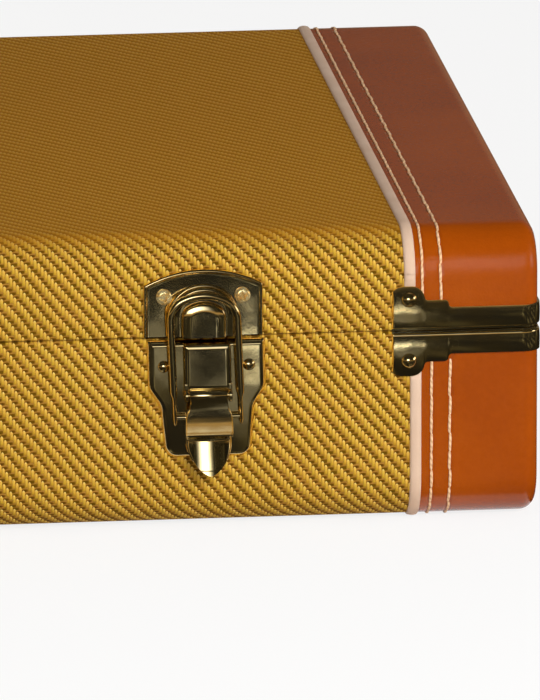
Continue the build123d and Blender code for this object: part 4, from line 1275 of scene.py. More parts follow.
def lever_face():
    """The front of the lever below its pin: standoff and half width as smooth functions of the way down.

    Across it, a point bulges by the square of its place over the tongue's half width. The tongue's outline
    is its half width times (1 - t to the power 1.9) to the power 0.7, where t goes from 0 to 1 down to the
    tip."""
    tip, bend, broad = 31.5, 19.5, 8.9
    spans = [(0.6, 15.0, 30), (15.2, 18.4, 22), (18.8, 29.0, 24), (29.3, tip, 14)]
    down = np.concatenate([np.linspace(*span) for span in spans])
    marks = [0, 2.0, 5.0, 8.0, 11.0, 13.5, 15.2, 15.9, 16.5, 17.1, 18.3, 20.0, 24.0, 28.0, tip]
    outs = [7.1, 6.9, 6.8, 6.95, 7.25, 7.65, 7.95, 7.95, 7.2, 6.9, 7.0, 7.4, 8.5, 9.6, 10.65]
    standoff = np.interp(down, marks, outs)
    kernel = np.array([1, 2, 3, 2, 1]) / 9
    before = 2 * standoff[0] - standoff[[2, 1]]
    after = 2 * standoff[-1] - standoff[[-2, -3]]
    padded = np.concatenate([before, standoff, after])
    standoff = np.convolve(padded, kernel, "valid")
    marks = [0, 2.9, 5.0, 7.0, 8.6, 16.4, 17.2, bend]
    width = np.interp(down, marks, [7.5, 7.5, 7.9, 8.8, 9.3, 9.4, 9.0, broad])
    t = np.clip((down - bend) / (tip - bend), 0, 1)
    width = width * (1 - t**1.9) ** 0.7
    across = np.concatenate([[-1.0, -0.985, -0.95], np.linspace(-0.88, 0.88, 17), [0.95, 0.985, 1.0]])
    x = width[:, None] * across[None]
    spoon = np.clip((down - 16.2) / 1.4, 0, 1)
    bulge = spoon[:, None] * 2.7 * (x / broad) ** 2 + 0.4 * (np.abs(across) > 0.97)[None]
    out = standoff[:, None] - bulge
    fold = np.clip((down - 5.0) / 1.5, 0, 1) * np.clip((20.4 - down) / 1.2, 0, 1)
    flange_x = np.repeat(x[:, -1:], 3, 1)
    flange_out = out[:, -1:] - (fold[:, None] * np.array([[1.2, 3.0, 4.8]]) + 0.02 * np.array([[1, 2, 3]]))
    x = np.concatenate([-flange_x[:, ::-1], x, flange_x], 1) * mm
    out = np.concatenate([flange_out[:, ::-1], out, flange_out], 1) * mm
    z = LEVER_AXIS_Z - np.broadcast_to(down[:, None] * mm, x.shape)
    front = np.stack([x, FRONT - out, z], -1)
    slope = np.gradient(out[:, out.shape[1] // 2], down * mm)
    inward_x = np.zeros_like(x)
    edges = np.arange(x.shape[1])
    inward_x[:, edges < 4] = 0.8 * LEVER_SHEET
    inward_x[:, edges >= x.shape[1] - 4] = -0.8 * LEVER_SHEET
    shrink = np.clip(width / 3.0, 0, 1)[:, None]
    lean = 1 / np.sqrt(1 + slope**2)[:, None]
    back_out = out - LEVER_SHEET * lean
    flanges = (edges < 3) | (edges >= x.shape[1] - 3)
    back_out[:, flanges] = out[:, flanges]
    back_z = z - LEVER_SHEET * slope[:, None] * lean * 0.5
    back = np.stack([x + inward_x * shrink, FRONT - back_out, back_z], -1)
    strips = [np.stack([front[0], back[0]]), np.stack([front[-1], back[-1]])]
    strips += [np.stack([front[:, 0], back[:, 0]]), np.stack([front[:, -1], back[:, -1]])]
    return joined([patch(front), patch(back)] + [patch(strip) for strip in strips])


def lever(x):
    """The rolled knuckle with its hollow ends, and the sheet below it."""
    end = 7.5
    right = [(end - 0.3, 2.5), (end, 2.2), (end, 1.3)]
    left = [(-a, r) for a, r in right[::-1]]
    roll = left + right + left[:1]
    knuckle = tube_x(placed(roll), LEVER_AXIS_Y, LEVER_AXIS_Z)
    return moved(joined([knuckle, lever_face()]), (x, 0, 0))


for number, x in enumerate(LATCH_X, start=1):
    sheet = set_askew(lever(x), number, 1.3 * mm, 0.014)
    hidden = [f"latch_{number}_lever"]
    make_piece(f"lever_{number}_sheet", sheet, GOLD, f"lever_{number}", hidden, crease=50)

# %% Wire loops
BAIL_AXIS_Y = FRONT - 4.0 * mm
BAIL_AXIS_Z = BASE_RIM - 31.0 * mm


def loop(x):
    """The wire: its middle line is an arch on two legs, its section an ellipse that narrows below a kink.

    The pins are two stubs across, from the legs into the lever's flanges, and each leg ends a little
    below."""
    half, peak, corner, crown = 13.2 * mm, 49.6 * mm, 9.0 * mm, 18.5 * mm
    arc, spring = arch_side(half, peak, corner, crown, (14, 10))
    tail = np.array([-3.4, -3.35, -3.1, -2.6, -1.6]) * mm
    leg = np.concatenate([tail, np.linspace(-0.6 * mm, spring, 28)[:-1]])
    leg = np.stack([np.full(len(leg), half), leg], -1)
    right = np.concatenate([leg, arc])
    line = np.concatenate([right, (right * [-1, 1])[::-1][1:]])
    heading = np.gradient(line, axis=0)
    heading = heading / np.linalg.norm(heading, axis=1)[:, None]
    inward = np.stack([-heading[:, 1], heading[:, 0]], -1)
    low = np.clip((9.6 * mm - line[:, 1]) / (1.8 * mm), 0, 1)
    low = low * low * (3 - 2 * low)
    ending = np.sqrt(np.clip((line[:, 1] + 3.45 * mm) / (1.2 * mm), 0.02, 1))
    flat_radius = (1.5 - 0.68 * low) * ending * mm
    deep_radius = (1.5 + 0.1 * low) * ending * mm
    around = np.linspace(0, 2 * math.pi, 17)
    width = flat_radius[:, None] * np.cos(around)[None] + (0.15 * mm * low)[:, None]
    flat = line[:, None] + width[..., None] * inward[:, None]
    deep = deep_radius[:, None] * np.sin(around)[None]
    tilt = math.asin((6.4 - 4.0) * mm / peak)
    y = BAIL_AXIS_Y - flat[..., 1] * math.sin(tilt) - deep * math.cos(tilt)
    z = BAIL_AXIS_Z + flat[..., 1] * math.cos(tilt) - deep * math.sin(tilt)
    shape = patch(np.stack([flat[..., 0] + x, y, z], -1))
    last = (len(line) - 1) * 17
    shape["rings"] = [np.arange(16), np.arange(last, last + 16)[::-1]]
    stub = [(8.8 * mm, 0), (8.8 * mm, 1.05 * mm), (half - 0.3 * mm, 1.05 * mm), (half, 0.2 * mm)]
    stubs = [[(x + way * a, r) for a, r in stub] for way in (-1, 1)]
    return joined([shape] + [tube_x(line, BAIL_AXIS_Y, BAIL_AXIS_Z) for line in stubs])


for number, x in enumerate(LATCH_X, start=1):
    wire = set_askew(loop(x), number, 0.2 * mm, 0.044)
    hidden = [f"latch_{number}_bail"]
    make_piece(f"wire_loop_{number}", wire, GOLD, f"bail_{number}", hidden, crease=60)

# %% [markdown]
# ## Handle
#
# The grip is a strip of leather sewn round a core and bent down at both ends into metal ferrules. It is an
# oval carried along a bent line. The two edges of the leather meet in a low ridge on the underside, with a
# row of stitches on either side, so both are placed by the same function of the distance along the grip and
# the angle round it.

# %% The grip and its seam
HANDLE_Y = FRONT - 11.0 * mm
HANDLE_Z = 52.0 * mm
EYE_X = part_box("handle_end_fittings")[1].x - 9.2 * mm
grip_corners = [(-EYE_X, 42.5 * mm), (-EYE_X, 21 * mm), (EYE_X, 21 * mm), (EYE_X, 42.5 * mm)]
grip_line, _ = rounded_line(grip_corners, [15 * mm, 15 * mm], 2 * mm, 1.5 * mm)
grip_keep = np.concatenate([[True], np.linalg.norm(np.diff(grip_line, axis=0), axis=1) > 1e-6])
grip_line = grip_line[grip_keep]
grip_walk = np.concatenate([[0], np.cumsum(np.linalg.norm(np.diff(grip_line, axis=0), axis=1))])
grip_head = np.gradient(grip_line, axis=0)
grip_head = grip_head / np.linalg.norm(grip_head, axis=1)[:, None]


def on_grip(walk, angle, out):
    """The place at a distance along the grip and an angle round it, 0 at the underside, a height out of it.

    The oval is 8.3 mm to the front and 9.5 mm down in its middle, and a little less at the ferrules."""
    x, z = [np.interp(walk, grip_walk, grip_line[:, i]) for i in (0, 1)]
    head_x, head_z = [np.interp(walk, grip_walk, grip_head[:, i]) for i in (0, 1)]
    full = 0.94 + 0.06 * np.sin(math.pi * np.clip(walk / grip_walk[-1], 0, 1)) ** 0.6
    down = (9.5 * mm * full + out) * np.cos(angle)
    front = (8.3 * mm * full + out) * np.sin(angle)
    return np.stack(np.broadcast_arrays(x + head_z * down, HANDLE_Y - front, z - head_x * down), -1)


def grip_surface():
    """The oval with its ridge: it rises by 0.75 mm where the angle is near 0, between two shallow valleys."""
    walk = np.linspace(0, grip_walk[-1], 110)[:, None]
    angle = np.linspace(-math.pi, math.pi, 61)[None]
    ridge = 0.75 * np.exp(-((angle / 0.11) ** 2)) - 0.22 * np.exp(-(((np.abs(angle) - 0.3) / 0.13) ** 2))
    ripple = 0.12 * np.sin(walk / (5.5 * mm) * 2 * math.pi) * np.exp(-(((np.abs(angle) - 0.3) / 0.2) ** 2))
    points = on_grip(walk, angle, (ridge + ripple) * mm)
    return patch(points, np.stack(np.broadcast_arrays(walk, angle * 9 * mm), -1))


def grip_stitches():
    """Capsules of 4.6 mm on a pitch of 5.5 mm, in two rows beside the ridge."""
    rows = []
    t = np.linspace(0, 1, 7)[None, :, None]
    around = np.linspace(0, 2 * math.pi, 8)[None, None]
    starts = np.arange(9 * mm, grip_walk[-1] - 14 * mm, 5.5 * mm)[:, None, None]
    thin = np.sin(math.pi * np.clip(t, 0.03, 0.97)) ** 0.3
    for side in (-1, 1):
        walk = starts + t * 4.6 * mm
        angle = side * 0.3 + 0.5 * mm * thin * np.cos(around) / (9 * mm)
        out = (-0.35 + 0.45 * np.sin(math.pi * t) ** 0.5) * mm + 0.45 * mm * thin * np.sin(around)
        points = on_grip(*np.broadcast_arrays(walk, angle, out))
        pattern = np.stack(np.broadcast_arrays(walk, around / (2 * math.pi)), -1)
        rows += [patch(points[i], pattern[i]) for i in range(points.shape[0])]
    return joined(rows)


make_piece("grip_leather", grip_surface(), HANDLE_LEATHER, "handle", ["handle_grip"], crease=70)
make_piece("grip_stitches", grip_stitches(), THREAD, "handle", crease=80)

# %% Ferrules, mounts and pins


def layered(rings, heights, axis=2):
    """Level rings of two coordinates, each at its own height along the third axis, closed at both ends."""
    flat = np.concatenate([rings, rings[:, :1]], axis=1)
    height = np.broadcast_to(np.asarray(heights)[:, None], flat.shape[:2])
    parts = [flat[..., 0], flat[..., 1]]
    parts.insert(axis, height)
    shape = patch(np.stack(parts, -1))
    count = rings.shape[1]
    last = (len(heights) - 1) * (count + 1)
    shape["rings"] = [np.arange(last, last + count), np.arange(count)[::-1]]
    return shape


def turned_upright(profile, x, y, sides=40):
    """A profile of (radius, height) spun about an upright axis."""
    radius, height = np.asarray(profile).T
    angle = np.linspace(0, 2 * math.pi, sides + 1)
    points = [x + radius[:, None] * np.cos(angle), y + radius[:, None] * np.sin(angle), height[:, None]]
    return patch(np.stack(np.broadcast_arrays(*points), -1))


def ferrule(x):
    """A cup with a beaded lip over the grip's end, a neck, and an eye on the pin."""
    cup = [(0, 41.2), (8.6, 41.2), (8.9, 40.4), (9.2, 40.9), (9.2, 42.0), (8.7, 42.4), (8.7, 44.8),
           (8.4, 45.8), (7.5, 46.6), (5.6, 46.9), (4.4, 47.4), (0, 47.4)]
    cup = turned_upright(placed(cup), x, HANDLE_Y)
    wide, deep = 4.3 * mm, 3.6 * mm
    corners = rectangle((x - wide, HANDLE_Y - deep), (x + wide, HANDLE_Y + deep))
    neck = layered(outline_rings(corners, [1.2 * mm] * 4, [-0.4 * mm, 0.2 * mm, 0.3 * mm, 0.0]),
                   np.array([46.6, 47.6, 49.0, 51.5]) * mm)
    eye = [(-4.4, 2.65), (-4.4, 4.1), (-3.9, 4.6), (3.9, 4.6), (4.4, 4.1), (4.4, 2.65), (-4.4, 2.65)]
    eye = tube_x(placed(eye, x), HANDLE_Y, HANDLE_Z, 32)
    return joined([cup, neck, eye])


def handle_mount(x):
    """A plate with full round ends and two lugs that stand out from it to carry the pin."""
    wide, high = 23.0 * mm, 11.0 * mm
    corners = rectangle((x - wide, HANDLE_Z - high), (x + wide, HANDLE_Z + high))
    insets, outs = steps_of((0, -0.3), (0, 0.8), (0.15, 1.25), (0.5, 1.6), (0.9, 1.6))
    pieces = [stamping(outline_rings(corners, [9.9 * mm] * 4, insets), outs, FRONT)]
    ear = 4.6 * mm
    corners = rectangle((HANDLE_Y - ear, HANDLE_Z - ear), (FRONT - 1.0 * mm, HANDLE_Z + ear))
    rings = outline_rings(corners, [4.55 * mm, 0.3 * mm, 0.3 * mm, 4.55 * mm], [0.3 * mm, 0, 0, 0.3 * mm])
    for side in (-1, 1):
        places = np.array([4.7, 5.0, 6.6, 6.9]) * mm * side
        pieces.append(layered(rings, x + places, axis=0))
    return joined(pieces)


def cross_pin(x, radius, reach, head, head_length):
    """A pin along X with a domed head at both ends."""
    dome = [(1.0, 0.0), (1.0, 0.45), (0.75, 0.8), (0.3, 1.0), (0.0, 1.0)]
    end = [(reach + head_length * a, head * r) for a, r in dome] + [(reach, radius)]
    line = [(x - a, r) for a, r in end] + [(x + a, r) for a, r in end[::-1]]
    return tube_x(line, HANDLE_Y, HANDLE_Z, 28)


eyes = (-EYE_X, EYE_X)
ferrules = joined([ferrule(x) for x in eyes])
make_piece("handle_ferrules", ferrules, GOLD, "handle", ["handle_end_fittings"], crease=40)
mounts = joined([handle_mount(x) for x in eyes])
make_piece("handle_mount_plates", mounts, GOLD, "base", ["handle_mounts"], crease=40)
pins = joined([cross_pin(x, 2.45 * mm, 6.95 * mm, 3.6 * mm, 1.15 * mm) for x in eyes])
make_piece("handle_cross_pins", pins, GOLD, "base", ["handle_pins"], crease=50)

# %% [markdown]
# ## Hinges and glides
#
# On the spine are three butt hinges and four turned feet. A hinge leaf is a plate whose edge is rolled into
# knuckles: the base has the outer two and the lid the middle one, and a pin runs through all three. The
# leaf is notched where the other one's knuckle turns, as on the real one.

# %% Hinge leaves and pins
HINGE_Y = BACK + 2.9 * mm
HINGE_Z = (LID_RIM + BASE_RIM) / 2
HINGE_X = (-380 * mm, 0.0, 380 * mm)


def hinge_leaf(x, up):
    """The notched plate against the back, and its knuckles about the hinge's axis."""
    half, notch, far, shoulder, ear = 25.0, 10.3, 20.0, 2.8, 0.6
    line = [(-half, ear), (-notch, ear), (-notch, shoulder), (notch, shoulder), (notch, ear), (half, ear),
            (half, far), (-half, far)]
    radii = [0.3, 0.3, 0.3, 0.3, 0.3, 0.3, 4.0, 4.0]
    if up > 0:
        line = [(-half, shoulder), (-notch, shoulder), (-notch, ear), (notch, ear), (notch, shoulder),
                (half, shoulder), (half, far), (-half, far)]
    corners = [(x + a * mm, HINGE_Z + up * b * mm) for a, b in line]
    if up < 0:
        corners, radii = corners[::-1], radii[::-1]
    insets, outs = steps_of((0, -0.3), (0, 0.9), (0.08, 1.25), (0.25, 1.5), (0.28, 1.5))
    plate = stamping(outline_rings(corners, np.array(radii) * mm, insets), -outs, BACK)
    spans = [(-9.9, 9.9)] if up > 0 else [(-half, -notch), (notch, half)]
    pieces = [plate]
    for start, end in spans:
        roll = [(start, 1.45), (start, 2.4), (start + 0.3, 2.7), (end - 0.3, 2.7), (end, 2.4), (end, 1.45),
                (start, 1.45)]
        pieces.append(tube_x(placed(roll, x), HINGE_Y, HINGE_Z, 28))
    return joined(pieces)


for name, up in (("lid", 1), ("base", -1)):
    leaves = joined([hinge_leaf(x, up) for x in HINGE_X])
    make_piece(f"{name}_hinge_plates", leaves, GOLD, name, [f"hinge_{name}_leaves"], crease=40)
rod = [(-24.9, 0), (-24.9, 1.0), (-24.6, 1.4), (24.6, 1.4), (24.9, 1.0), (24.9, 0)]
rods = joined([tube_x(placed(rod, x), HINGE_Y, HINGE_Z, 20) for x in HINGE_X])
make_piece("hinge_rods", rods, GOLD, "base", ["hinge_pins"], crease=50)

# %% Spine glides
glide_profile = [(0, 7.1), (2.0, 7.1), (2.4, 8.0), (5.0, 8.0), (6.1, 7.7), (6.8, 7.0), (7.3, 5.9), (8.5, 1.4),
                 (8.9, 0.9), (9.0, 0.3), (9.0, -0.3), (0, -0.3)]
for name in HALVES:
    feet = []
    for low, high in solids_of(f"{name}_spine_glides"):
        centre = ((low[0] + high[0]) / 2, BACK, (low[2] + high[2]) / 2)
        feet.append(turned(placed(glide_profile), centre, 1, 36))
    make_piece(f"{name}_glides", joined(feet), GOLD, name, [f"{name}_spine_glides"], crease=40)

# %% [markdown]
# ## Lining
#
# The inside is foam wrapped in plush. The thin linings of the walls and the tongue that locates the lid are
# rings with a rounded section. The pads are made the way an upholsterer's are: a foam block is wrapped,
# here a copy of the solid rebuilt as an even skin, and the cover swells a little under pressure in a cloth
# simulation. How far a point may move is capped, and it stays in the block's own space, so the pad is flat
# where it lies on the floor.

# %% Rings along the walls
WALL = 10.6 * mm
inner_x = HALF_LENGTH - WALL
inner_front, inner_back = FRONT + WALL, BACK - WALL


def wall_ring(outset, corner, profile):
    """A closed profile of (inset, height), carried round a rectangle inside the walls."""
    x, front, back = inner_x - outset, inner_front + outset, inner_back - outset
    insets, heights = np.array(profile + profile[:1]).T * mm
    rings = outline_rings(rectangle((-x, front), (x, back)), [corner] * 4, insets, 15 * mm, 1.2 * mm)
    shape = layered(rings, heights)
    shape["rings"] = []
    return shape


def soft_section(thickness, low, high, soft):
    """A strip that stands on its foot, with its top rounded over by a quarter circle on each side."""
    turn = np.linspace(0, math.pi / 2, 6)
    left = [(soft * (1 - math.cos(a)), high - soft + soft * math.sin(a)) for a in turn]
    right = [(thickness - a, z) for a, z in left[::-1]]
    return [(0, low)] + left + right + [(thickness, low)]


binding_outset = -8.95 * mm
for name, low, high in (("base", 76.72, 77.68), ("lid", 78.32, 79.28)):
    outer_edge = [(0.4, low), (0, low + 0.3), (0, high - 0.3), (0.4, high)]
    tape = outer_edge + [(9.2, high), (9.55, high - 0.3), (9.55, low)]
    ring = wall_ring(binding_outset, 4.4 * mm, tape)
    make_piece(f"{name}_rim_tape", ring, BINDING, name, [f"{name}_rim_binding"], crease=50)
tongue = wall_ring(1.0 * mm, 1.5 * mm, soft_section(1.5, 67.7, 83.0, 0.7))
make_piece("tongue_strip", tongue, PLUSH, "base", ["closure_tongue"], crease=60)
lining = wall_ring(2.5 * mm, 3.0 * mm, soft_section(5.0, 6.6, 75.7, 2.2))
make_piece("base_wall_lining", lining, PLUSH, "base", ["base_side_liner"], crease=60)
lining_low, lining_high = 84.5, 110.4
hanging = soft_section(5.0, lining_low, lining_high, 2.2)
foot_up = [(a, lining_high + lining_low - z) for a, z in hanging]
lining = wall_ring(0, 3.0 * mm, foot_up)
make_piece("lid_wall_lining", lining, PLUSH, "lid", ["lid_side_liner"], crease=60)

# %% Padded pieces
PRESSURE = 4.0
SETTLING_FRAMES = 20


def loose_mesh(node):
    """A merged copy of a node's mesh."""
    mesh = nodes[node].data.copy()
    work = bmesh.new()
    work.from_mesh(mesh)
    bmesh.ops.remove_doubles(work, verts=work.verts, dist=1e-5)
    work.to_mesh(mesh)
    work.free()
    return mesh


def mesh_points(mesh):
    """A mesh's points as one array of (x, y, z)."""
    points = np.empty(len(mesh.vertices) * 3, np.float32)
    mesh.vertices.foreach_get("co", points)
    return points.reshape(-1, 3)


def foam_pad(name, node, body, voxel, smaller, room, proud=(0, 0, 0)):
    """The node's block as wrapped foam: rebuilt in voxels, set in by `smaller`, then swollen by pressure.

    A point moves along its own path by at most `room`, and stays inside the block's box, which may be proud
    by a little on its free side."""
    pad = bpy.data.objects.new(name, loose_mesh(node))
    bpy.context.scene.collection.objects.link(pad)
    remesh = pad.modifiers.new("voxels", "REMESH")
    remesh.mode = "VOXEL"
    remesh.voxel_size = voxel
    even = bpy.data.meshes.new_from_object(pad.evaluated_get(bpy.context.evaluated_depsgraph_get()))
    pad.modifiers.clear()
    pad.data = even
    normals = np.empty(len(even.vertices) * 3, np.float32)
    even.vertices.foreach_get("normal", normals)
    start = mesh_points(even) - normals.reshape(-1, 3) * smaller
    even.vertices.foreach_set("co", start.ravel())
    even.update()
    swollen = start + normals.reshape(-1, 3) * room * 0.8
    cloth = pad.modifiers.new("stuffing", "CLOTH")
    cloth.settings.use_pressure = True
    cloth.settings.uniform_pressure_force = PRESSURE
    cloth.settings.quality = 4
    cloth.settings.effector_weights.gravity = 0.0
    cloth.point_cache.frame_end = SETTLING_FRAMES
    for step in range(1, SETTLING_FRAMES + 1):
        bpy.context.scene.frame_set(step)
    made = pad.evaluated_get(bpy.context.evaluated_depsgraph_get())
    swollen = mesh_points(made.to_mesh())
    made.to_mesh_clear()
    pad.modifiers.clear()
    bpy.context.scene.frame_set(1)
    move = swollen - start
    length = np.linalg.norm(move, axis=1)[:, None]
    move = move * np.minimum(1, room / np.maximum(length, 1e-9))
    low, high = [np.array(corner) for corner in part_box(node)]
    points = np.clip(start + move, low, high + np.array(proud))
    even.vertices.foreach_set("co", points.astype(np.float32).ravel())
    even.shade_smooth()
    even.materials.clear()
    even.materials.append(PLUSH)
    even.update()
    fine = pad.modifiers.new("smooth", "SUBSURF")
    fine.levels = fine.render_levels = 1
    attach(pad, body)
    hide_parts(node)
    print(f"{name}: {len(even.polygons)} faces before subdivision")
    return pad


rise = (0, 0, 0.8 * mm)
foam_pad("floor_cushion", "floor_pad", "base", 6 * mm, 1.0 * mm, 2.5 * mm)
foam_pad("body_surround", "body_surround_pad", "base", 6 * mm, 2.0 * mm, 5 * mm, rise)
foam_pad("neck_rail", "neck_side_pad", "base", 5 * mm, 2.0 * mm, 5 * mm, rise)
foam_pad("neck_block", "neck_rest", "base", 3 * mm, 1.5 * mm, 4 * mm, rise)
foam_pad("lid_cushion", "lid_pad", "lid", 6 * mm, 1.5 * mm, 3.5 * mm)

# %% Accessory box, its lid and the leather tab
box_low, box_high = [np.array(corner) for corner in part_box("accessory_box")]
board_low, board_high = [np.array(corner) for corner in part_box("accessory_lid")]


def box_outline(inset):
    """The box's outline as rings, each at its inset in millimetres."""
    corners = rectangle(box_low, box_high)
    return outline_rings(corners, [3 * mm] * 4, np.asarray(inset) * mm, 12 * mm, 0.8 * mm)


section = soft_section(6.0, box_low[2] / mm, box_high[2] / mm, 1.6)
section = np.array(section + section[:1]).T
walls = layered(box_outline(section[0]), section[1] * mm)
walls["rings"] = []
make_piece("accessory_walls", walls, PLUSH, "base", ["accessory_box"], crease=50)
low, high = board_low[2] / mm, board_high[2] / mm
insets = [9.0, 7.6, 7.2, 7.2, 7.2, 1.0, 0.2, 0, 0, 0.5, 1.6, 3.5, 14.0, 30.0]
heights = [low, low + 0.2, low + 0.9, low + 5.0, low + 6.3, low + 6.3, low + 6.6, low + 7.4,
           high - 2.2, high - 1.1, high - 0.5, high - 0.25, high - 0.05, high]
cover = layered(box_outline(insets), np.array(heights) * mm)
make_piece("accessory_cover", cover, PLUSH, "accessory_lid", ["accessory_lid"], crease=50)
tab_low, tab_high = [np.array(corner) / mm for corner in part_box("accessory_pull_tab")]
tab_radii = np.array([9, 9, 1.5, 1.5]) * mm
tab_insets = np.array([0.3, 0, 0, 0.25, 0.7, 1.0]) * mm
rings = outline_rings(np.array(rectangle(tab_low, tab_high)) * mm, tab_radii, tab_insets)
tab = layered(rings, (tab_low[2] + np.array([0, 0.25, 1.1, 1.4, 1.55, 1.55])) * mm)
make_piece("pull_tab", tab, HANDLE_LEATHER, "accessory_lid", ["accessory_pull_tab"], crease=50)


def tab_stitches():
    """Two straight rows of capsules that hold the tab's square end down."""
    t = np.linspace(0, 1, 7)[:, None]
    around = np.linspace(0, 2 * math.pi, 8)[None]
    thin = np.sin(math.pi * np.clip(t, 0.03, 0.97)) ** 0.3
    shapes = []
    for row in (2.5, 7.0):
        for start in np.arange(tab_low[0] + 2.0, tab_high[0] - 4.0, 3.4):
            x = np.broadcast_to(start + t * 2.8, (7, 8))
            y = tab_high[1] - row + 0.4 * thin * np.cos(around)
            z = tab_high[2] - 0.3 + 0.25 * np.sin(math.pi * t) + 0.35 * thin * np.sin(around)
            pattern = np.stack(np.broadcast_arrays(x * mm, around / (2 * math.pi)), -1)
            shapes.append(patch(np.stack([x, y, z], -1) * mm, pattern))
    return joined(shapes)


make_piece("tab_stitches", tab_stitches(), THREAD, "accessory_lid", crease=80)

# %% [markdown]
# ## Stage, lights and camera
#
# The case stands on a pale floor in a white studio. A broad lamp in front gives the leather and the cloth
# their light. Gold shows only what it reflects, so, as a photographer would, dark cards stand round the
# case where only reflections see them, and a soft window on the front one stands for the lamp.

# %% Floor and world


def studio_material(name, base, glow):
    """A matt surface that lifts to white for the camera and for reflections but keeps a shadow."""
    surface = Finish(name, Roughness=0.9, Specular_IOR_Level=0.0)
    surface.shader.inputs["Base Color"].default_value = (*base, 1)
    tree = surface.tree
    seen = surface.node("ShaderNodeLightPath", output="Is Camera Ray")
    mirrored_ray = surface.node("ShaderNodeLightPath", output="Is Glossy Ray")
    through = surface.node("ShaderNodeLightPath", output="Is Transmission Ray")
    share = seen.largest(mirrored_ray).largest(through) * glow
    white = surface.node("ShaderNodeEmission", inputs={"Color": (1, 1, 1, 1), "Strength": 1.0})
    shader = Signal(surface, surface.shader.outputs[0])
    mixed = surface.node("ShaderNodeMixShader", inputs={0: share, 1: shader, 2: white})
    tree.links.new(mixed.socket, tree.nodes["Material Output"].inputs["Surface"])
    return surface.material


def card(name, corners, material):
    """A flat four-cornered card of the stage."""
    mesh = bpy.data.meshes.new(name)
    mesh.from_pydata(corners, [], [(0, 1, 2, 3)])
    mesh.materials.append(material)
    made = bpy.data.objects.new(name, mesh)
    bpy.context.scene.collection.objects.link(made)
    return made


FLOOR_LEVEL = -0.3 * mm
floor_material = studio_material("pale_floor", (0.86, 0.86, 0.86), 0.8)
reach = 9.0
card("floor", [(x, y, FLOOR_LEVEL) for x, y in rectangle((-reach, -reach), (reach, reach))], floor_material)
print("floor:", 2 * reach, "m wide at", FLOOR_LEVEL)

world = bpy.data.worlds.new("studio")
bpy.context.scene.world = world
world.use_nodes = True
tree = world.node_tree
background = tree.nodes["Background"]
background.inputs["Color"].default_value = (1.0, 0.96, 0.9, 1)
background.inputs["Strength"].default_value = 0.25
path = tree.nodes.new("ShaderNodeLightPath")
white = tree.nodes.new("ShaderNodeBackground")
white.inputs["Strength"].default_value = 1.0
largest = [tree.nodes.new("ShaderNodeMath") for _ in range(2)]
for node in largest:
    node.operation = "MAXIMUM"
tree.links.new(path.outputs["Is Camera Ray"], largest[0].inputs[0])
tree.links.new(path.outputs["Is Glossy Ray"], largest[0].inputs[1])
tree.links.new(largest[0].outputs[0], largest[1].inputs[0])
tree.links.new(path.outputs["Is Transmission Ray"], largest[1].inputs[1])
blend = tree.nodes.new("ShaderNodeMixShader")
tree.links.new(largest[1].outputs[0], blend.inputs[0])
tree.links.new(background.outputs[0], blend.inputs[1])
tree.links.new(white.outputs[0], blend.inputs[2])
tree.links.new(blend.outputs[0], tree.nodes["World Output"].inputs["Surface"])

# %% Dark cards for the gold


def reflection_only(made):
    """Hides a card from everything but reflections."""
    made.visible_camera = False
    made.visible_diffuse = False
    made.visible_shadow = False
    made.visible_transmission = False
    made.visible_volume_scatter = False


def card_material(name, across, away, window=None, haze=0.0, spots=()):
    """Near black with brown, olive and pale patches that glow a little so that gold shows them, tan far away.

    A window is a soft pale glow, brightest in its middle, in place of a lamp's hard outline: it rises and
    falls along the wall between the four given places. A spot is an oval of its own brightness, that fades
    by one minus the square of the distance from its middle. Haze lifts the whole card."""
    dark = Finish(name, Roughness=1.0, Specular_IOR_Level=0.0, Emission_Strength=1.0)
    dark.shader.inputs["Base Color"].default_value = (0.01, 0.01, 0.01, 1)
    x, y, z = dark.axes(dark.place())
    soft = dark.noise(dark.vector(x * across, y * away, z * away), 1.0, 0.6, 0.5)
    stops = [
        (0.36, (0.002, 0.0014, 0.0004, 1)),
        (0.54, (0.010, 0.008, 0.003, 1)),
        (0.66, (0.045, 0.038, 0.018, 1)),
        (0.74, (0.20, 0.19, 0.14, 1)),
        (0.82, (0.7, 0.74, 0.66, 1)),
    ]
    colour = dark.ramp(soft, stops)
    far = (x.size() - 0.4).largest(y.size()).between(0.7, 2.5)
    low = far * (1.0 - z.between(0.1, 0.4))
    colour = dark.mix(low * 0.9, colour, (0.36, 0.245, 0.105, 1))
    if haze:
        colour = dark.mix(haze, colour, (0.5, 0.48, 0.45, 1))
    if window:
        along, (a, b, c, d), bright = {"x": x, "y": y}[window[0]], window[1], window[2]
        across_it = (along.between(a, b) * (1.0 - along.between(c, d))).power(2.0)
        up_it = z.between(0.15, 0.4) * (1.0 - z.between(0.7, 1.3))
        colour = dark.mix(across_it * up_it, colour, (bright, bright, bright, 1))
    # Spots: painted highlights for the gold to mirror, or a painted dark reflection where a spot is dark.
    for middle_x, out, radius_x, radius_y, bright in spots:
        off_x, off_y = (x - middle_x) * (1 / radius_x), (y - (FRONT - out)) * (1 / radius_y)
        oval = (1.0 - (off_x * off_x + off_y * off_y)).largest(0.0)
        colour = dark.mix(oval, colour, (bright, bright, bright * 0.92, 1))
    dark.feed("Emission Color", colour)
    return dark.material


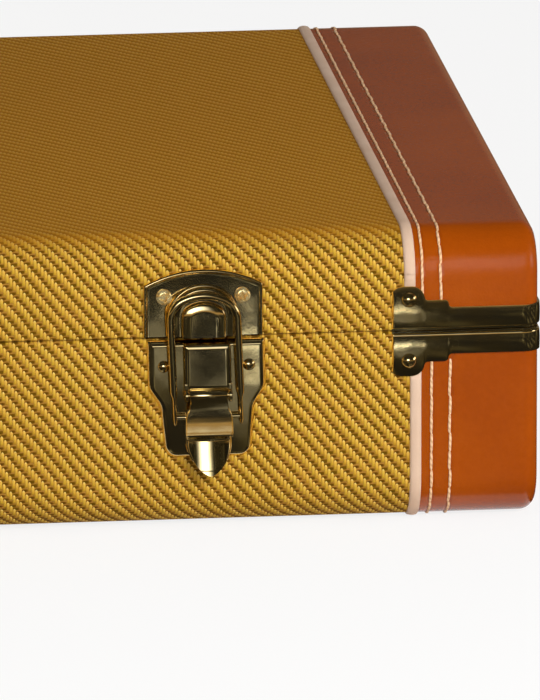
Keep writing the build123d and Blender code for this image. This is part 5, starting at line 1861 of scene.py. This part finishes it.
# Each spot: its middle along X, how far out from the front it lies, its radius along X, its radius outwards
# and its brightness. The pale spots are painted highlights, each placed where a plate of the right-hand latch
# or the tab of a strip at that end mirrors it, so that the gold shows a glint or a pale patch there. The
# first one is dark, a painted dark reflection that keeps the latch's plates dark round the pale ones.
SPOTS = [
    (0.457, 0.385, 0.085, 0.170, 0.003),
    (0.521, 0.325, 0.006, 0.015, 3.2),
    (0.516, 0.270, 0.007, 0.018, 0.30),
    (0.417, 0.277, 0.013, 0.060, 0.22),
    (0.456, 0.290, 0.012, 0.020, 1.4),
    (0.449, 0.240, 0.007, 0.014, 1.2),
    (0.429, 0.347, 0.005, 0.010, 1.2),
    (0.460, 0.348, 0.005, 0.010, 1.2),
    (0.437, 0.200, 0.016, 0.050, 0.16),
]
FLOOR_SIDEWAYS = card_material("dark_side_floor_card", 3.0, 9.0)
FLOORS = {
    "front": card_material("dark_floor_card", 24.0, 7.0, spots=SPOTS),
    "back": card_material("dark_back_floor_card", 24.0, 7.0),
    "left": FLOOR_SIDEWAYS,
    "right": FLOOR_SIDEWAYS,
}
DARK_WALL = card_material("dark_wall_card", 9.0, 9.0)
WALLS = {
    "front": card_material("dark_card_with_window", 9.0, 9.0, ("x", (-1.6, 0.0, 0.0, 1.4), 4.4)),
    "right": card_material("dark_card_with_side_window", 3.0, 3.0, ("y", (-1.7, -1.1, -0.5, 0.1), 2.4)),
    "back": card_material("dark_back_card", 9.0, 9.0, haze=0.2),
    "left": DARK_WALL,
}
lift, tall, gap, depth, overlap = 0.6 * mm, 1.75, 0.001, 2.6, 0.7
SIDES = {
    "front": (0, -1, FRONT - gap),
    "back": (0, 1, BACK + gap),
    "left": (-1, 0, -HALF_LENGTH - gap),
    "right": (1, 0, HALF_LENGTH + gap),
}
for name, (way_x, way_y, near) in SIDES.items():
    far = near + (way_x + way_y) * depth
    ends = [(near, -depth), (near, depth), (far, depth), (far, -depth)]
    flat = [(a, b) if way_x else (b, a) for a, b in ends]
    reflection_only(card(f"dark_{name}_floor", [(a, b, lift) for a, b in flat], FLOORS[name]))
    wall = [(far, side) if way_x else (side, far) for side in (depth + overlap, -depth - overlap)]
    upright = [(*wall[0], 0), (*wall[1], 0), (*wall[1], tall), (*wall[0], tall)]
    reflection_only(card(f"dark_{name}_wall", upright, WALLS[name]))
wide = HALF_LENGTH + gap + depth
ceiling = [(x, y, tall) for x, y in rectangle((-wide, -wide), (wide, wide))]
reflection_only(card("dark_ceiling", ceiling, DARK_WALL))
print("dark cards:", 2 * len(SIDES) + 1)

# %% Lamps


def softbox(name, place, aim, size, power, colour=(1, 1, 1)):
    """A rectangular area lamp that looks at a point, its size in metres and its power in watts."""
    lamp = bpy.data.lights.new(name, "AREA")
    lamp.shape = "RECTANGLE"
    lamp.size, lamp.size_y = size
    lamp.energy = power
    lamp.color = colour
    made = bpy.data.objects.new(name, lamp)
    made.location = place
    made.rotation_euler = (Vector(aim) - Vector(place)).to_track_quat("-Z", "Y").to_euler()
    made.visible_camera = False
    bpy.context.scene.collection.objects.link(made)
    return made


LAMPS = [
    softbox("front_light", (1.0, -1.9, 1.0), (0.35, FRONT, 0.06), (1.1, 0.7), 46, (1.0, 0.985, 0.95)),
    softbox("right_light", (2.4, -0.6, 0.8), (0.5, 0, 0.06), (0.6, 1.2), 11, (1.0, 0.98, 0.95)),
    softbox("left_light", (-2.4, -0.6, 0.9), (-0.5, 0, 0.06), (0.6, 1.2), 12, (1.0, 0.98, 0.95)),
    softbox("back_light", (0.3, 2.6, 0.7), (0, 0.1, 0.06), (1.8, 0.7), 16),
]
for lamp in LAMPS:
    lamp.visible_glossy = False
print("lamps:", len(LAMPS))

# %% [markdown]
# ## Camera
#
# The photograph shows one front corner from a little left of straight on and from above. Its receding lines
# stay nearly parallel, so the camera is far away with a long lens. The camera is placed by one point of the
# case, the meeting of the seam and the middle of the right-hand latch: it has to fall on its own pixel, and
# the scale says how wide a pixel is there.

# %% Camera at the photograph's angle
PICTURE = (540, 700)
AZIMUTH, ELEVATION = math.radians(-6.8), math.radians(14.5)
PIXEL_SIZE = 0.3923 * mm
DISTANCE = 8.0
SENSOR = 36.0
anchor = Vector((LATCH_X[3], FRONT, (LID_RIM + BASE_RIM) / 2))
anchor_pixel = (202.9, 337.0)

back_way = Vector(
    (math.sin(AZIMUTH) * math.cos(ELEVATION), -math.cos(AZIMUTH) * math.cos(ELEVATION), math.sin(ELEVATION))
)
right_way = Vector((math.cos(AZIMUTH), math.sin(AZIMUTH), 0))
up_way = back_way.cross(right_way)
off_right = (PICTURE[0] / 2 - anchor_pixel[0]) * PIXEL_SIZE
off_up = (anchor_pixel[1] - PICTURE[1] / 2) * PIXEL_SIZE
middle = anchor + right_way * off_right + up_way * off_up
lens = bpy.data.cameras.new("camera")
lens.sensor_width = SENSOR
lens.lens = SENSOR * DISTANCE / (PICTURE[1] * PIXEL_SIZE)
lens.clip_start = 0.01
lens.clip_end = 200
camera = bpy.data.objects.new("camera", lens)
camera.location = middle + back_way * DISTANCE
camera.rotation_euler = back_way.to_track_quat("Z", "Y").to_euler()
bpy.context.scene.collection.objects.link(camera)
bpy.context.scene.camera = camera
bpy.context.scene.view_settings.view_transform = "Standard"
print("lens", round(lens.lens, 1), "mm at", DISTANCE, "m")
